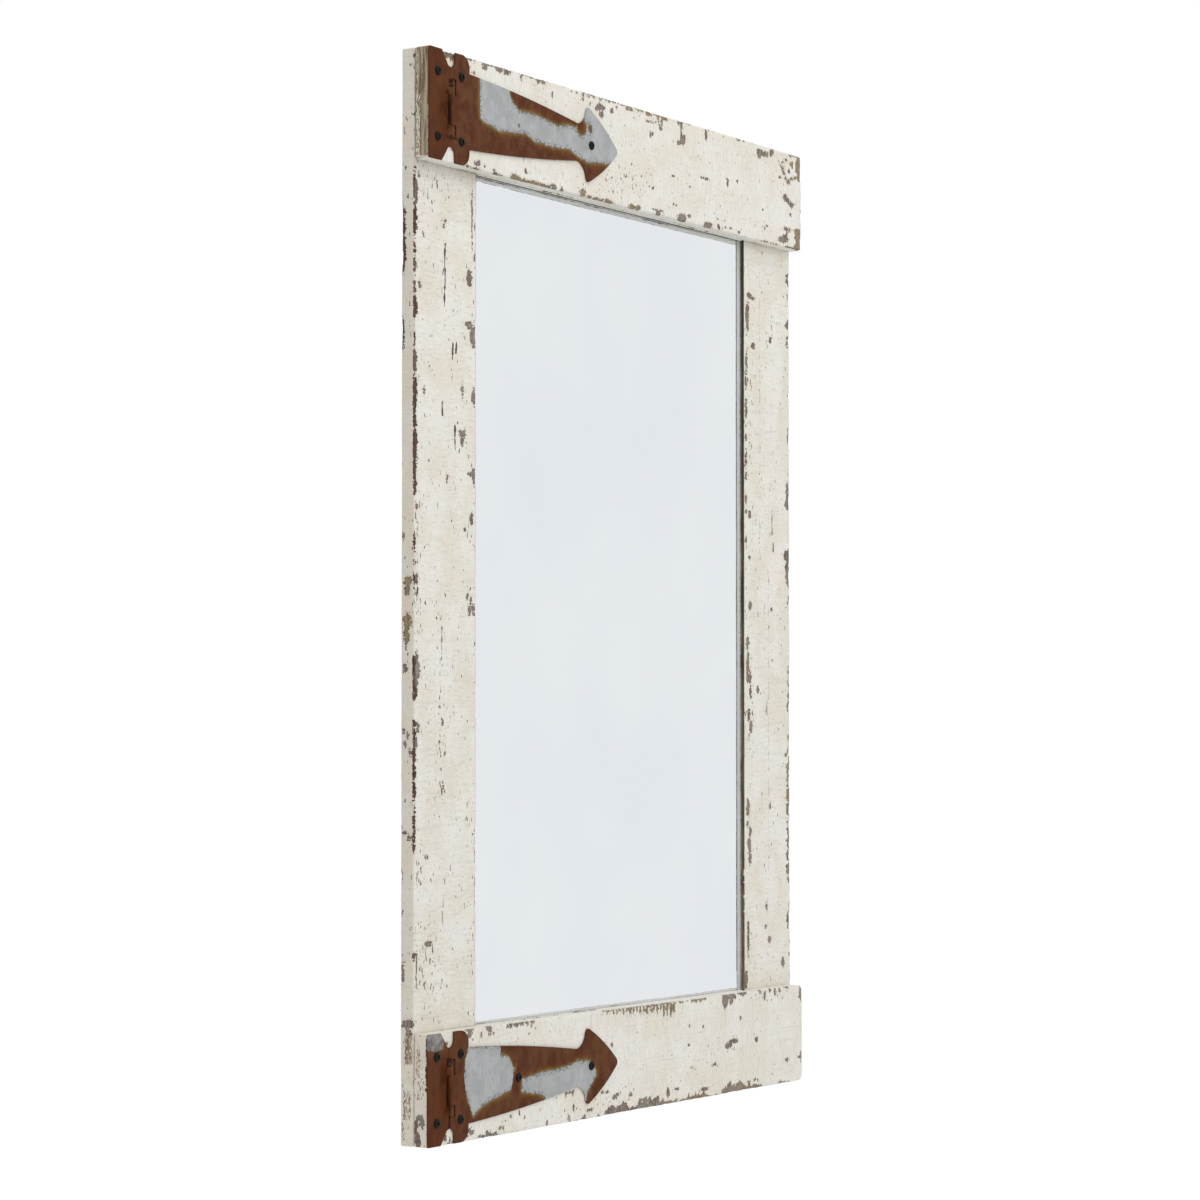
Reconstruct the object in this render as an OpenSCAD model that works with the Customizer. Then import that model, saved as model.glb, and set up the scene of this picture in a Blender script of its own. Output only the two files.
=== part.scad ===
// Wall mirror in a board frame, with two arrow-headed strap hinges.
// Millimetres, +Z up, front towards -Y, viewer's right is +X.
// Origin: in the wall's plane, midway between the pivots of the two hanging rings.

/* [Overall size] */
// Width over the frame
frame_w = 700; // [600:10:900]
// Height over the frame
frame_h = 1000; // [800:10:1400]

/* [Boards] */
// Width of each upright board
stile_w = 100; // [90:1:120]
// Thickness of the back layer: uprights and cross rails
stile_t = 15; // [13:1:20]
// Height of each front rail
rail_h = 103; // [96:1:125]
// Thickness of the front rails
rail_t = 15; // [13:1:20]
// Rounding along the boards' edges
edge_r = 1.2; // [0.6:0.1:2]
// Rounding of the boards' corners, seen from the front
corner_r = 3; // [1.5:0.5:6]
// Rounding of the bottom rail's free corners, worn rounder than the rest
worn_corner_r = 11; // [3:0.5:14]
// How far the rabbet reaches behind the lip
rabbet_w = 8; // [6:0.5:10]
// Thickness of the lip in front of the glass
lip_t = 5.5; // [4:0.5:6]

/* [Glass and back] */
// Thickness of the silvered glass
glass_t = 4; // [3:0.5:5]
// Play round the glass and the foam in the rabbet
glass_play = 1; // [0.5:0.1:2]
// Thickness of the backing board
backing_t = 3; // [2:0.5:4]
// How far the backing board reaches past the opening
backing_overlap = 20; // [18:1:26]
// Backing screws down each upright
side_screw_count = 5; // [3:1:8]
// Backing screws along each cross rail
end_screw_count = 3; // [2:1:5]
// From the opening's corner to the first backing screw
backing_screw_start = 60; // [40:5:90]

/* [Strap hinges] */
// Thickness of the hinge plates
plate_t = 1.5; // [1.2:0.1:2]
// Wood left bare above and below the hinge
hinge_margin = 0.5; // [0.2:0.1:2]
// Width of the leaf, from the frame's edge to the seam
leaf_w = 32; // [30:0.5:34]
// Width of the strap's flange
flange_w = 32; // [30:0.5:36]
// Radius of the flange's outer corners
flange_corner_r = 12; // [6:1:14]
// Length of the tapered strap, from the flange to the neck
strap_len = 184; // [150:1:220]
// Length of the arrow head, from the neck to its point
head_len = 73; // [68:1:84]
// Height of the strap where it leaves the flange
root_h = 70; // [60:1:76]
// Height of the strap at its neck
neck_h = 36.5; // [32:0.5:42]
// Height of the arrow head over its barbs
head_h = 72.6; // [70:0.2:80]
// How far the strap's long sides swell past a straight line
strap_bulge = 2; // [0:0.5:4]
// How far the arrow's front sides swell past a straight line
head_bulge = 2.1; // [0:0.1:4]
// Depth of the notch between leaf and flange
notch_depth = 14.4; // [12:0.2:17]
// Radius of the notch's round end
notch_r = 7; // [5.5:0.1:7.4]
// How far the pin lies past the seam
pin_offset = 4; // [3.6:0.1:4.4]
// Diameter of the hinge pin
pin_d = 4.8; // [4:0.1:5.2]
// Height of the strap's knuckle
strap_knuckle_h = 26.5; // [22:0.5:28]
// Height of each of the leaf's knuckles
leaf_knuckle_h = 9.5; // [8:0.1:10]
// Gap between one knuckle and the next
knuckle_gap = 0.6; // [0.4:0.1:1]
// How far the knuckles sit below the hinge's centre line
knuckle_drop = 2.5; // [0:0.5:3]
// Open slot beside each knuckle
slot_gap = 2.7; // [1.5:0.1:3]
// Open slot past the upper knuckle's end
slot_end = 5.4; // [2:0.2:6]
// From the frame's edge to the leaf's screw holes
leaf_hole_x = 13; // [9:0.5:16]
// From the flange's outer edge back to its screw holes
flange_hole_inset = 13.2; // [8:0.2:15]
// Height of the outer screw holes above and below the centre line
hole_rise = 30; // [29:0.5:34]
// From the flange to the hole in the middle of the strap
mid_hole_along = 82; // [72:1:92]
// From the neck to the hole in the arrow head
tip_hole_along = 25; // [18:1:30]

/* [Screws] */
// Diameter of the hinge screws' heads
hinge_screw_head_d = 8.4; // [7:0.2:9]
// Height of the hinge screws' heads
hinge_screw_head_h = 2.4; // [1.8:0.1:3]
// Diameter of the hinge screws' shanks
hinge_screw_d = 3.8; // [3:0.1:4.2]
// Length of the hinge screws under the head
hinge_screw_len = 11; // [9:0.5:12]
// Diameter of the frame screws' countersunk heads
frame_screw_head_d = 8; // [7:0.2:9]
// Height of the frame screws' countersunk heads
frame_screw_head_h = 2.6; // [2:0.1:3.2]
// Diameter of the frame screws' shanks
frame_screw_d = 4; // [3.5:0.1:4.5]
// How far the frame screws bite into the front rails
frame_screw_bite = 10; // [8:0.5:11]
// Diameter of the back's small screws' heads
small_screw_head_d = 6.6; // [6:0.2:7]
// Height of the back's small screws' heads
small_screw_head_h = 1.8; // [1.4:0.1:2.2]
// Diameter of the back's small screws' shanks
small_screw_d = 3; // [2.6:0.1:3.4]
// Length of the back's small screws under the head
small_screw_len = 10; // [9:0.5:12]

/* [Hanging hardware] */
// From the top of the frame down to the ring pivots
hang_drop = 150; // [135:5:260]
// Width of the hanger's strap
hanger_w = 13; // [11:0.5:15]
// Length of the hanger's strap below the pivot
hanger_len = 60; // [56:1:80]
// From the hanger's round end to its first screw
hanger_hole_end = 11; // [8:0.5:13]
// Distance between the hanger's screws
hanger_hole_pitch = 22; // [16:1:24]
// Thickness of the hanger's strap
hanger_t = 1.2; // [1:0.1:1.5]
// Diameter of the ring's wire
wire_d = 3; // [2.5:0.1:3.2]
// Width of the ring over its wire's centre line
ring_w = 25; // [22:0.5:30]
// Length of the ring's straight legs
ring_leg = 5; // [3:0.5:8]
// Play between the wire and the eye that holds it
eye_play = 0.3; // [0.2:0.05:0.3]
// Diameter of the wall bumpers
bumper_d = 20; // [14:1:26]
// Thickness of the wall bumpers
bumper_t = 7; // [7:0.5:10]

/* [Hidden] */
$fn = 48;

// Depth planes, counted back from the wall
back_y = -bumper_t;
layer_y = back_y - stile_t;
front_y = layer_y - rail_t;

// Frame edges, the opening and the rails' centre lines
left_x = -frame_w / 2;
top_z = hang_drop;
bottom_z = hang_drop - frame_h;
opening_w = frame_w - 2 * stile_w;
opening_h = frame_h - 2 * rail_h;
opening_z = bottom_z + rail_h;
top_rail_z = top_z - rail_h / 2;
bottom_rail_z = bottom_z + rail_h / 2;

// Width of a head's cross recess, as a share of the head
recess_share = 0.55;
// Play of a screw or pin in its hole, on the radius
screw_play = 0.05;
pin_play = 0.05;
backing_play = 0.1;
backing_corner_r = 2;
// Extra length of a cutting tool past the face it opens
over = 1;

// Hinge, from the frame's left edge, its centre line and the rail's front face
hinge_half = rail_h / 2 - hinge_margin;
seam_gap = 0.4;
flange_x = leaf_w + flange_w;
neck_x = flange_x + strap_len;
tip_x = neck_x + head_len;
pin_x = leaf_w + pin_offset;
knuckle_bore_r = pin_d / 2 + pin_play;
knuckle_r = knuckle_bore_r + plate_t;
knuckle_y = knuckle_r - plate_t;
strap_knuckle_bottom = -knuckle_drop - strap_knuckle_h / 2;
strap_knuckle_top = -knuckle_drop + strap_knuckle_h / 2;
upper_knuckle_bottom = strap_knuckle_top + knuckle_gap;
lower_knuckle_bottom = strap_knuckle_bottom - knuckle_gap - leaf_knuckle_h;
upper_knuckle_top = upper_knuckle_bottom + leaf_knuckle_h;
slot_top = upper_knuckle_top + slot_end;
slot_bottom = lower_knuckle_bottom - knuckle_gap;
groove_play = 0.6;
pin_head_rim = 1;
pin_head_d = pin_d + 2 * pin_head_rim;
pin_head_h = 1.8;
roll_angle = 285;
// What the drill takes off inside a rolled eye
bore_cut = 0.1;
leaf_corner_r = 0.8;
// Notch between leaf and flange: its centre past the seam, and its mouth's reach to each side
notch_past_seam = 1.9;
notch_mouth_left = 15.1;
notch_mouth_right = 7.2;
// Arrow head's inner fillet, barbs and point
neck_fillet_r = 16.2;
barb_r = 3.4;
barb_along = 20.5;
nose_r = 4.5;

// Screw holes in the hinge, in X and Z; the top hinge's middle hole has no screw
plate_hole_play = 0.6;
leaf_holes = [[leaf_hole_x, hole_rise], [leaf_hole_x, -hole_rise]];
flange_hole_x = flange_x - flange_hole_inset;
strap_end_holes = [[flange_hole_x, hole_rise], [flange_hole_x, -hole_rise], [neck_x + tip_hole_along, 0]];
mid_hole = [flange_x + mid_hole_along, 0];
top_hinge_holes = concat(leaf_holes, strap_end_holes);
bottom_hinge_holes = concat(leaf_holes, strap_end_holes, [mid_hole]);

// Frame screws: four in each corner and three in each cross rail
corner_screw_dx = 24;
corner_screw_dz = 32;
cross_screw_inset = 70;
frame_screw_rim_h = 0.3;
frame_screw_sink = 0.2;
frame_screw_len = stile_t + frame_screw_bite;
corner_x = frame_w / 2 - stile_w / 2;
cross_screw_x = opening_w / 2 - cross_screw_inset;

// Hangers
eye_bore_r = wire_d / 2 + eye_play;
eye_r = eye_bore_r + hanger_t;
ring_y = back_y + eye_r;
hanger_x = frame_w / 2 - stile_w / 2;
ring_r = ring_w / 2;
bumper_taper = 2;
hanger_holes = [-hanger_len + hanger_hole_end, -hanger_len + hanger_hole_end + hanger_hole_pitch];
hanger_hole_play = 0.4;

// Points along an arc, from angle a to angle b
function arc(c, r, a, b, n = 12) =
    [for (i = [0:n]) let (t = a + (b - a) * i / n) [c[0] + r * cos(t), c[1] + r * sin(t)]];

// Points from p to q along a shallow bow that rises by sag to the left of the line
function bow(p, q, sag, n = 12) =
    let (d = q - p, side = [-d[1], d[0]] / norm(d))
    [for (i = [0:n]) let (t = i / n) p + t * d + 4 * sag * t * (1 - t) * side];

// Corners of a rectangle from the origin, rounded by r, and by right_r on its right-hand side
function round_rect(w, h, r, n = 5, right_r = 0) =
    let (q = max(r, right_r))
    concat(arc([w - q, h - q], q, 0, 90, n), arc([r, h - r], r, 90, 180, n),
           arc([r, r], r, 180, 270, n), arc([w - q, q], q, 270, 360, n));

function mirrored(points) = [for (i = [len(points) - 1:-1:0]) [points[i][0], -points[i][1]]];

// A board standing on z = 0 with its front face on y = 0, all its edges eased
module board(w, h, t, right_r = 0) {
    intersection() {
        rotate([90, 0, 0]) translate([0, 0, -t]) linear_extrude(t)
            polygon(round_rect(w, h, corner_r, right_r = right_r));
        linear_extrude(h) polygon(round_rect(w, t, edge_r));
        rotate([90, 0, 90]) linear_extrude(w) polygon(round_rect(t, h, edge_r));
    }
}

// A hole of diameter d along Y, its mouth at y = 0 and running back
module hole(d, depth) {
    translate([0, -over, 0]) rotate([-90, 0, 0]) cylinder(d = d, h = depth + over);
}

// The same hole entered from behind
module hole_from_back(d, depth) {
    mirror([0, 1, 0]) hole(d, depth);
}

// Cross recess for a driver, open at the top of a head
module cross_recess(width, depth) {
    for (turn = [0, 90])
        rotate(turn) translate([-width / 2, -width / 8, -depth]) cube([width, width / 4, depth + over]);
}

// Screw with a domed head, seated on z = 0 and pointing down
module pan_screw(head_d, head_h, d, length) {
    tip = d;
    rim_h = head_h / 3;
    difference() {
        rotate_extrude() polygon(concat(
            [[0, -length], [d / 2, -length + tip], [d / 2, 0], [head_d / 2, 0]],
            [for (a = [0:15:90]) [head_d / 2 * cos(a), rim_h + (head_h - rim_h) * sin(a)]]));
        translate([0, 0, head_h]) cross_recess(head_d * recess_share, head_h / 2);
    }
}

// Countersunk screw, its head flush with z = 0, pointing down
module countersunk_screw() {
    shank_r = frame_screw_d / 2;
    head_r = frame_screw_head_d / 2;
    difference() {
        rotate_extrude() polygon([
            [0, -frame_screw_len], [shank_r, -frame_screw_len + frame_screw_d],
            [shank_r, -frame_screw_head_h], [head_r, -frame_screw_rim_h], [head_r, 0], [0, 0]]);
        cross_recess(frame_screw_head_d * recess_share, frame_screw_head_h / 2);
    }
}

// Turned so that a screw's head looks to the front or to the back
module from_front() rotate([90, 0, 0]) children();
module from_back() rotate([-90, 0, 0]) children();

// Places of the frame screws, on the back face
module at_corner_screws(rail_z) {
    for (side = [-1, 1], dx = [-1, 1], dz = [-1, 1])
        translate([side * corner_x + dx * corner_screw_dx, back_y, rail_z + dz * corner_screw_dz]) children();
}
module at_cross_screws(rail_z) {
    for (x = [-cross_screw_x, 0, cross_screw_x]) translate([x, back_y, rail_z]) children();
}

// Clearance hole with its countersink, through the back layer
module frame_screw_hole() {
    shank_d = frame_screw_d + 2 * screw_play;
    head_d = frame_screw_head_d + 2 * screw_play;
    rim_depth = frame_screw_rim_h + frame_screw_sink;
    cone_h = frame_screw_head_h - frame_screw_rim_h;
    hole_from_back(shank_d, stile_t + over);
    hole_from_back(head_d, rim_depth);
    from_back() translate([0, 0, -rim_depth - cone_h]) cylinder(h = cone_h, d1 = shank_d, d2 = head_d);
}

// Places of the backing screws, midway between the rabbet and the backing board's edge
backing_screw_off = (rabbet_w + backing_overlap) / 2;
function spread(low, high, count) = [for (i = [0:count - 1]) low + (high - low) * i / (count - 1)];
module at_side_screws(side) {
    for (z = spread(opening_z + backing_screw_start, opening_z + opening_h - backing_screw_start,
                    side_screw_count))
        translate([side * (opening_w / 2 + backing_screw_off), back_y, z]) children();
}
module at_end_screws(z) {
    for (x = spread(-opening_w / 2 + backing_screw_start, opening_w / 2 - backing_screw_start,
                    end_screw_count))
        translate([x, back_y, z]) children();
}
module at_top_end_screws() at_end_screws(opening_z + opening_h + backing_screw_off) children();
module at_bottom_end_screws() at_end_screws(opening_z - backing_screw_off) children();

// Hole that a small screw takes in the wood
module small_pilot() hole_from_back(small_screw_d + 2 * screw_play, small_screw_len);

// Upright board on the left, with its rabbet and every hole
module stile() {
    difference() {
        translate([left_x, layer_y, bottom_z]) board(stile_w, frame_h, stile_t);
        translate([-opening_w / 2 - rabbet_w, layer_y + lip_t, opening_z - rabbet_w])
            cube([rabbet_w + over, stile_t, opening_h + 2 * rabbet_w]);
        at_corner_screws(top_rail_z) frame_screw_hole();
        at_corner_screws(bottom_rail_z) frame_screw_hole();
        at_side_screws(-1) small_pilot();
        for (z = hanger_holes) translate([-hanger_x, back_y, z]) small_pilot();
    }
}

module left_stile() {
    color([0.88, 0.86, 0.81]) stile();
}

module right_stile() {
    color([0.88, 0.86, 0.81]) mirror([1, 0, 0]) stile();
}

// Board between the uprights behind a front rail; inner is 1 where the opening is above it
module cross_rail(rail_z, inner) {
    rabbet_z = inner > 0 ? opening_z - rabbet_w : opening_z + opening_h;
    difference() {
        translate([-opening_w / 2, layer_y, rail_z - rail_h / 2]) board(opening_w, rail_h, stile_t);
        translate([-opening_w / 2 - over, layer_y + lip_t, rabbet_z - (inner > 0 ? 0 : over)])
            cube([opening_w + 2 * over, stile_t, rabbet_w + over]);
        at_cross_screws(rail_z) frame_screw_hole();
        at_end_screws(rail_z + inner * (rail_h / 2 - backing_screw_off)) small_pilot();
    }
}

module top_cross_rail() {
    color([0.80, 0.77, 0.70]) cross_rail(top_rail_z, -1);
}

module bottom_cross_rail() {
    color([0.80, 0.77, 0.70]) cross_rail(bottom_rail_z, 1);
}

// Front rail with the hinge's pilot holes, the groove for its knuckles and the blind screw holes
module front_rail(rail_z, hinge_holes, right_r) {
    difference() {
        translate([left_x, front_y, rail_z - rail_h / 2]) board(frame_w, rail_h, rail_t, right_r);
        translate([left_x, front_y, rail_z]) {
            for (p = hinge_holes)
                translate([p[0], 0, p[1]]) hole(hinge_screw_d + 2 * screw_play, hinge_screw_len);
            translate([pin_x - knuckle_r - groove_play, -over, slot_bottom])
                cube([2 * (knuckle_r + groove_play), over + knuckle_y + knuckle_r + groove_play,
                      slot_top - slot_bottom]);
        }
        translate([0, -stile_t, 0]) {
            at_corner_screws(rail_z) hole_from_back(frame_screw_d + 2 * screw_play, frame_screw_bite);
            at_cross_screws(rail_z) hole_from_back(frame_screw_d + 2 * screw_play, frame_screw_bite);
        }
    }
}

module top_rail() {
    color([0.90, 0.88, 0.83]) front_rail(top_rail_z, top_hinge_holes, corner_r);
}

module bottom_rail() {
    color([0.90, 0.88, 0.83]) front_rail(bottom_rail_z, bottom_hinge_holes, worn_corner_r);
}

module frame_screws() {
    color([0.70, 0.66, 0.50]) {
        for (z = [top_rail_z, bottom_rail_z]) {
            at_corner_screws(z) translate([0, -frame_screw_sink, 0]) from_back() countersunk_screw();
            at_cross_screws(z) translate([0, -frame_screw_sink, 0]) from_back() countersunk_screw();
        }
    }
}

// A flat sheet centred on the opening that reaches past it by reach, its front face on y
module opening_sheet(reach, t, y, r = 0) {
    w = opening_w + 2 * reach;
    h = opening_h + 2 * reach;
    translate([-w / 2, y + t, opening_z - reach]) rotate([90, 0, 0])
        linear_extrude(t) polygon(r > 0 ? round_rect(w, h, r) : [[0, 0], [w, 0], [w, h], [0, h]]);
}

module mirror_glass() {
    color([0.86, 0.90, 0.93]) opening_sheet(rabbet_w - glass_play, glass_t, layer_y + lip_t);
}

module foam_sheet() {
    color([0.93, 0.93, 0.90])
        opening_sheet(rabbet_w - glass_play, stile_t - lip_t - glass_t, layer_y + lip_t + glass_t);
}

module backing_board() {
    color([0.52, 0.38, 0.24]) difference() {
        opening_sheet(backing_overlap, backing_t, back_y, backing_corner_r);
        for (side = [-1, 1]) at_side_screws(side) backing_hole();
        at_top_end_screws() backing_hole();
        at_bottom_end_screws() backing_hole();
    }
}

module backing_hole() {
    translate([0, backing_t, 0]) hole_from_back(small_screw_d + 2 * backing_play, backing_t + over);
}

module backing_screws() {
    color([0.62, 0.62, 0.60]) {
        for (side = [-1, 1]) at_side_screws(side) backing_screw();
        at_top_end_screws() backing_screw();
        at_bottom_end_screws() backing_screw();
    }
}

module backing_screw() {
    translate([0, backing_t, 0]) from_back()
        pan_screw(small_screw_head_d, small_screw_head_h, small_screw_d, small_screw_len);
}

// Outline of the notch at the hinge's upper edge; the lower one is its mirror image
function notch_outline() =
    let (c = [leaf_w + notch_past_seam, hinge_half - notch_depth + notch_r])
    concat([[c[0] - notch_mouth_left, hinge_half + over]], arc(c, notch_r, 200, 360),
           [[c[0] + notch_mouth_right, hinge_half + over]]);

module notches() {
    polygon(notch_outline());
    polygon(mirrored(notch_outline()));
}

// Flat plate of a 2D outline drawn in X and Z, lying in front of y = 0
module plate() {
    rotate([90, 0, 0]) linear_extrude(plate_t) children();
}

// Rolled eye that a plate coming from the left ends in: section in X and Y, from z up by h.
// The plate's outer face is tangent to the roll on its low-Y side.
module rolled_eye(bore_r, t, z, h) {
    r = bore_r + t;
    inner_r = bore_r - bore_cut;
    translate([0, 0, z]) difference() {
        linear_extrude(h) polygon(concat(
            [[-t, -r]], arc([0, 0], r, -90, roll_angle - 90, 24),
            arc([0, 0], inner_r, roll_angle - 90, -90, 24), [[-t, -bore_r]]));
        translate([0, 0, -over]) cylinder(r = bore_r, h = h + 2 * over);
    }
}

// Leaf: a notched plate with a knuckle at each end of its slot
module hinge_leaf() {
    edge = leaf_w - seam_gap / 2;
    difference() {
        plate() difference() {
            union() {
                translate([0, -hinge_half]) polygon(round_rect(edge, 2 * hinge_half, leaf_corner_r, 3));
                for (z = [upper_knuckle_bottom, lower_knuckle_bottom])
                    translate([edge - over, z]) square([pin_x - edge + over, leaf_knuckle_h]);
            }
            notches();
            translate([pin_x - knuckle_r - slot_gap, strap_knuckle_bottom - knuckle_gap])
                square([edge, strap_knuckle_h + 2 * knuckle_gap]);
        }
        for (p = leaf_holes) translate([p[0], -plate_t, p[1]]) plate_hole();
    }
    for (z = [upper_knuckle_bottom, lower_knuckle_bottom])
        translate([pin_x, knuckle_y, 0]) rolled_eye(knuckle_bore_r, plate_t, z, leaf_knuckle_h);
}

module plate_hole() {
    hole(hinge_screw_d + plate_hole_play, plate_t + over);
}

// Upper half of the strap's outline, from the flange to the arrow's point
function strap_half() =
    let (neck = [neck_x, neck_h / 2],
         barb = [neck_x + barb_along, head_h / 2 - barb_r],
         nose = [tip_x - nose_r, 0])
    concat(
        [[flange_x - over, root_h / 2]],
        bow([flange_x, root_h / 2], neck, strap_bulge, 16),
        arc(neck + [0, neck_fillet_r], neck_fillet_r, -84, -6, 10),
        arc(barb, barb_r, 160, 62, 8),
        bow(barb + barb_r * [cos(56), sin(56)], nose + nose_r * [cos(48), sin(48)], head_bulge, 14),
        arc(nose, nose_r, 42, 0, 6));

// Strap: flange with rounded corners, tapered strap and barbed arrow head, with one knuckle
module hinge_strap() {
    edge = leaf_w + seam_gap / 2;
    clear_x = pin_x + knuckle_r + slot_gap;
    corner_at_x = flange_x - flange_corner_r;
    corner_at_z = hinge_half - flange_corner_r;
    difference() {
        plate() difference() {
            union() {
                polygon(concat([[edge, -hinge_half]],
                    arc([corner_at_x, -corner_at_z], flange_corner_r, -90, 0, 8),
                    arc([corner_at_x, corner_at_z], flange_corner_r, 0, 90, 8),
                    [[edge, hinge_half]]));
                polygon(concat(strap_half(), mirrored(strap_half())));
            }
            notches();
            translate([edge - over, strap_knuckle_bottom - knuckle_gap])
                square([pin_x - edge + over, strap_knuckle_h + 2 * knuckle_gap]);
            translate([edge - over, upper_knuckle_bottom - knuckle_gap / 2])
                square([clear_x - edge + over, slot_top - upper_knuckle_bottom + knuckle_gap / 2]);
            translate([edge - over, slot_bottom])
                square([clear_x - edge + over, strap_knuckle_bottom - knuckle_gap / 2 - slot_bottom]);
        }
        for (p = concat(strap_end_holes, [mid_hole])) translate([p[0], -plate_t, p[1]]) plate_hole();
    }
    translate([pin_x, knuckle_y, 0]) mirror([1, 0, 0])
        rolled_eye(knuckle_bore_r, plate_t, strap_knuckle_bottom, strap_knuckle_h);
}

// Pin with a small button head at its upper end
module hinge_pin() {
    translate([pin_x, knuckle_y, 0]) {
        translate([0, 0, lower_knuckle_bottom])
            cylinder(d = pin_d, h = upper_knuckle_top - lower_knuckle_bottom);
        translate([0, 0, upper_knuckle_top]) cylinder(d1 = pin_head_d, d2 = pin_d, h = pin_head_h);
    }
}

module hinge_screws(holes) {
    for (p = holes) translate([p[0], -plate_t, p[1]]) from_front()
        pan_screw(hinge_screw_head_d, hinge_screw_head_h, hinge_screw_d, hinge_screw_len);
}

module on_rail(rail_z) translate([left_x, front_y, rail_z]) children();

module top_hinge_leaf() {
    color([0.42, 0.27, 0.20]) on_rail(top_rail_z) hinge_leaf();
}

module bottom_hinge_leaf() {
    color([0.42, 0.27, 0.20]) on_rail(bottom_rail_z) hinge_leaf();
}

module top_hinge_strap() {
    color([0.46, 0.33, 0.26]) on_rail(top_rail_z) hinge_strap();
}

module bottom_hinge_strap() {
    color([0.46, 0.33, 0.26]) on_rail(bottom_rail_z) hinge_strap();
}

module top_hinge_pin() {
    color([0.26, 0.16, 0.11]) on_rail(top_rail_z) hinge_pin();
}

module bottom_hinge_pin() {
    color([0.26, 0.16, 0.11]) on_rail(bottom_rail_z) hinge_pin();
}

module top_hinge_screws() {
    color([0.12, 0.12, 0.12]) on_rail(top_rail_z) hinge_screws(top_hinge_holes);
}

module bottom_hinge_screws() {
    color([0.12, 0.12, 0.12]) on_rail(bottom_rail_z) hinge_screws(bottom_hinge_holes);
}

// Hanger on the left upright's back: a strap that ends in an eye for the ring
module hanger_plate() {
    translate([-hanger_x, back_y, 0]) {
        difference() {
            translate([-hanger_w / 2, hanger_t, -hanger_len]) rotate([90, 0, 0]) linear_extrude(hanger_t)
                polygon(concat(arc([hanger_w / 2, hanger_w / 2], hanger_w / 2, 180, 360, 16),
                    [[hanger_w, hanger_len], [0, hanger_len]]));
            for (z = hanger_holes) translate([0, hanger_t, z])
                hole_from_back(small_screw_d + hanger_hole_play, hanger_t + over);
        }
        translate([0, eye_r, 0]) rotate([0, -90, 0])
            rolled_eye(eye_bore_r, hanger_t, -hanger_w / 2, hanger_w);
    }
}

// D-shaped wire ring, hanging from its straight bar
module hanger_ring() {
    translate([-hanger_x, ring_y, 0]) {
        translate([-ring_r, 0, 0]) rotate([0, 90, 0]) cylinder(d = wire_d, h = ring_w);
        for (side = [-1, 1]) {
            translate([side * ring_r, 0, 0]) sphere(d = wire_d);
            translate([side * ring_r, 0, -ring_leg]) cylinder(d = wire_d, h = ring_leg);
        }
        translate([0, 0, -ring_leg]) rotate([-90, 0, 0])
            rotate_extrude(angle = 180) translate([ring_r, 0]) circle(d = wire_d);
    }
}

module hanger_screws() {
    for (z = hanger_holes) translate([-hanger_x, back_y + hanger_t, z]) from_back()
        pan_screw(small_screw_head_d, small_screw_head_h, small_screw_d, small_screw_len);
}

module left_hanger_plate() {
    color([0.78, 0.70, 0.45]) hanger_plate();
}

module right_hanger_plate() {
    color([0.78, 0.70, 0.45]) mirror([1, 0, 0]) hanger_plate();
}

module left_hanger_ring() {
    color([0.80, 0.72, 0.47]) hanger_ring();
}

module right_hanger_ring() {
    color([0.80, 0.72, 0.47]) mirror([1, 0, 0]) hanger_ring();
}

module left_hanger_screws() {
    color([0.62, 0.62, 0.60]) hanger_screws();
}

module right_hanger_screws() {
    color([0.62, 0.62, 0.60]) mirror([1, 0, 0]) hanger_screws();
}

module wall_bumpers() {
    color([0.25, 0.25, 0.26])
        for (side = [-1, 1], z = [top_rail_z, bottom_rail_z])
            translate([side * corner_x, back_y, z]) rotate([-90, 0, 0])
                cylinder(d1 = bumper_d, d2 = bumper_d - bumper_taper, h = bumper_t);
}

left_stile();
right_stile();
top_rail();
bottom_rail();
top_cross_rail();
bottom_cross_rail();
frame_screws();
mirror_glass();
foam_sheet();
backing_board();
backing_screws();
top_hinge_leaf();
top_hinge_strap();
top_hinge_pin();
top_hinge_screws();
bottom_hinge_leaf();
bottom_hinge_strap();
bottom_hinge_pin();
bottom_hinge_screws();
left_hanger_plate();
left_hanger_ring();
left_hanger_screws();
right_hanger_plate();
right_hanger_ring();
right_hanger_screws();
wall_bumpers();
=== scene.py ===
"""Looks of the wall mirror: worn painted boards, rusted strap hinges, silvered glass and the back's fittings."""

import itertools
from functools import partial, partialmethod, reduce

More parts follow.
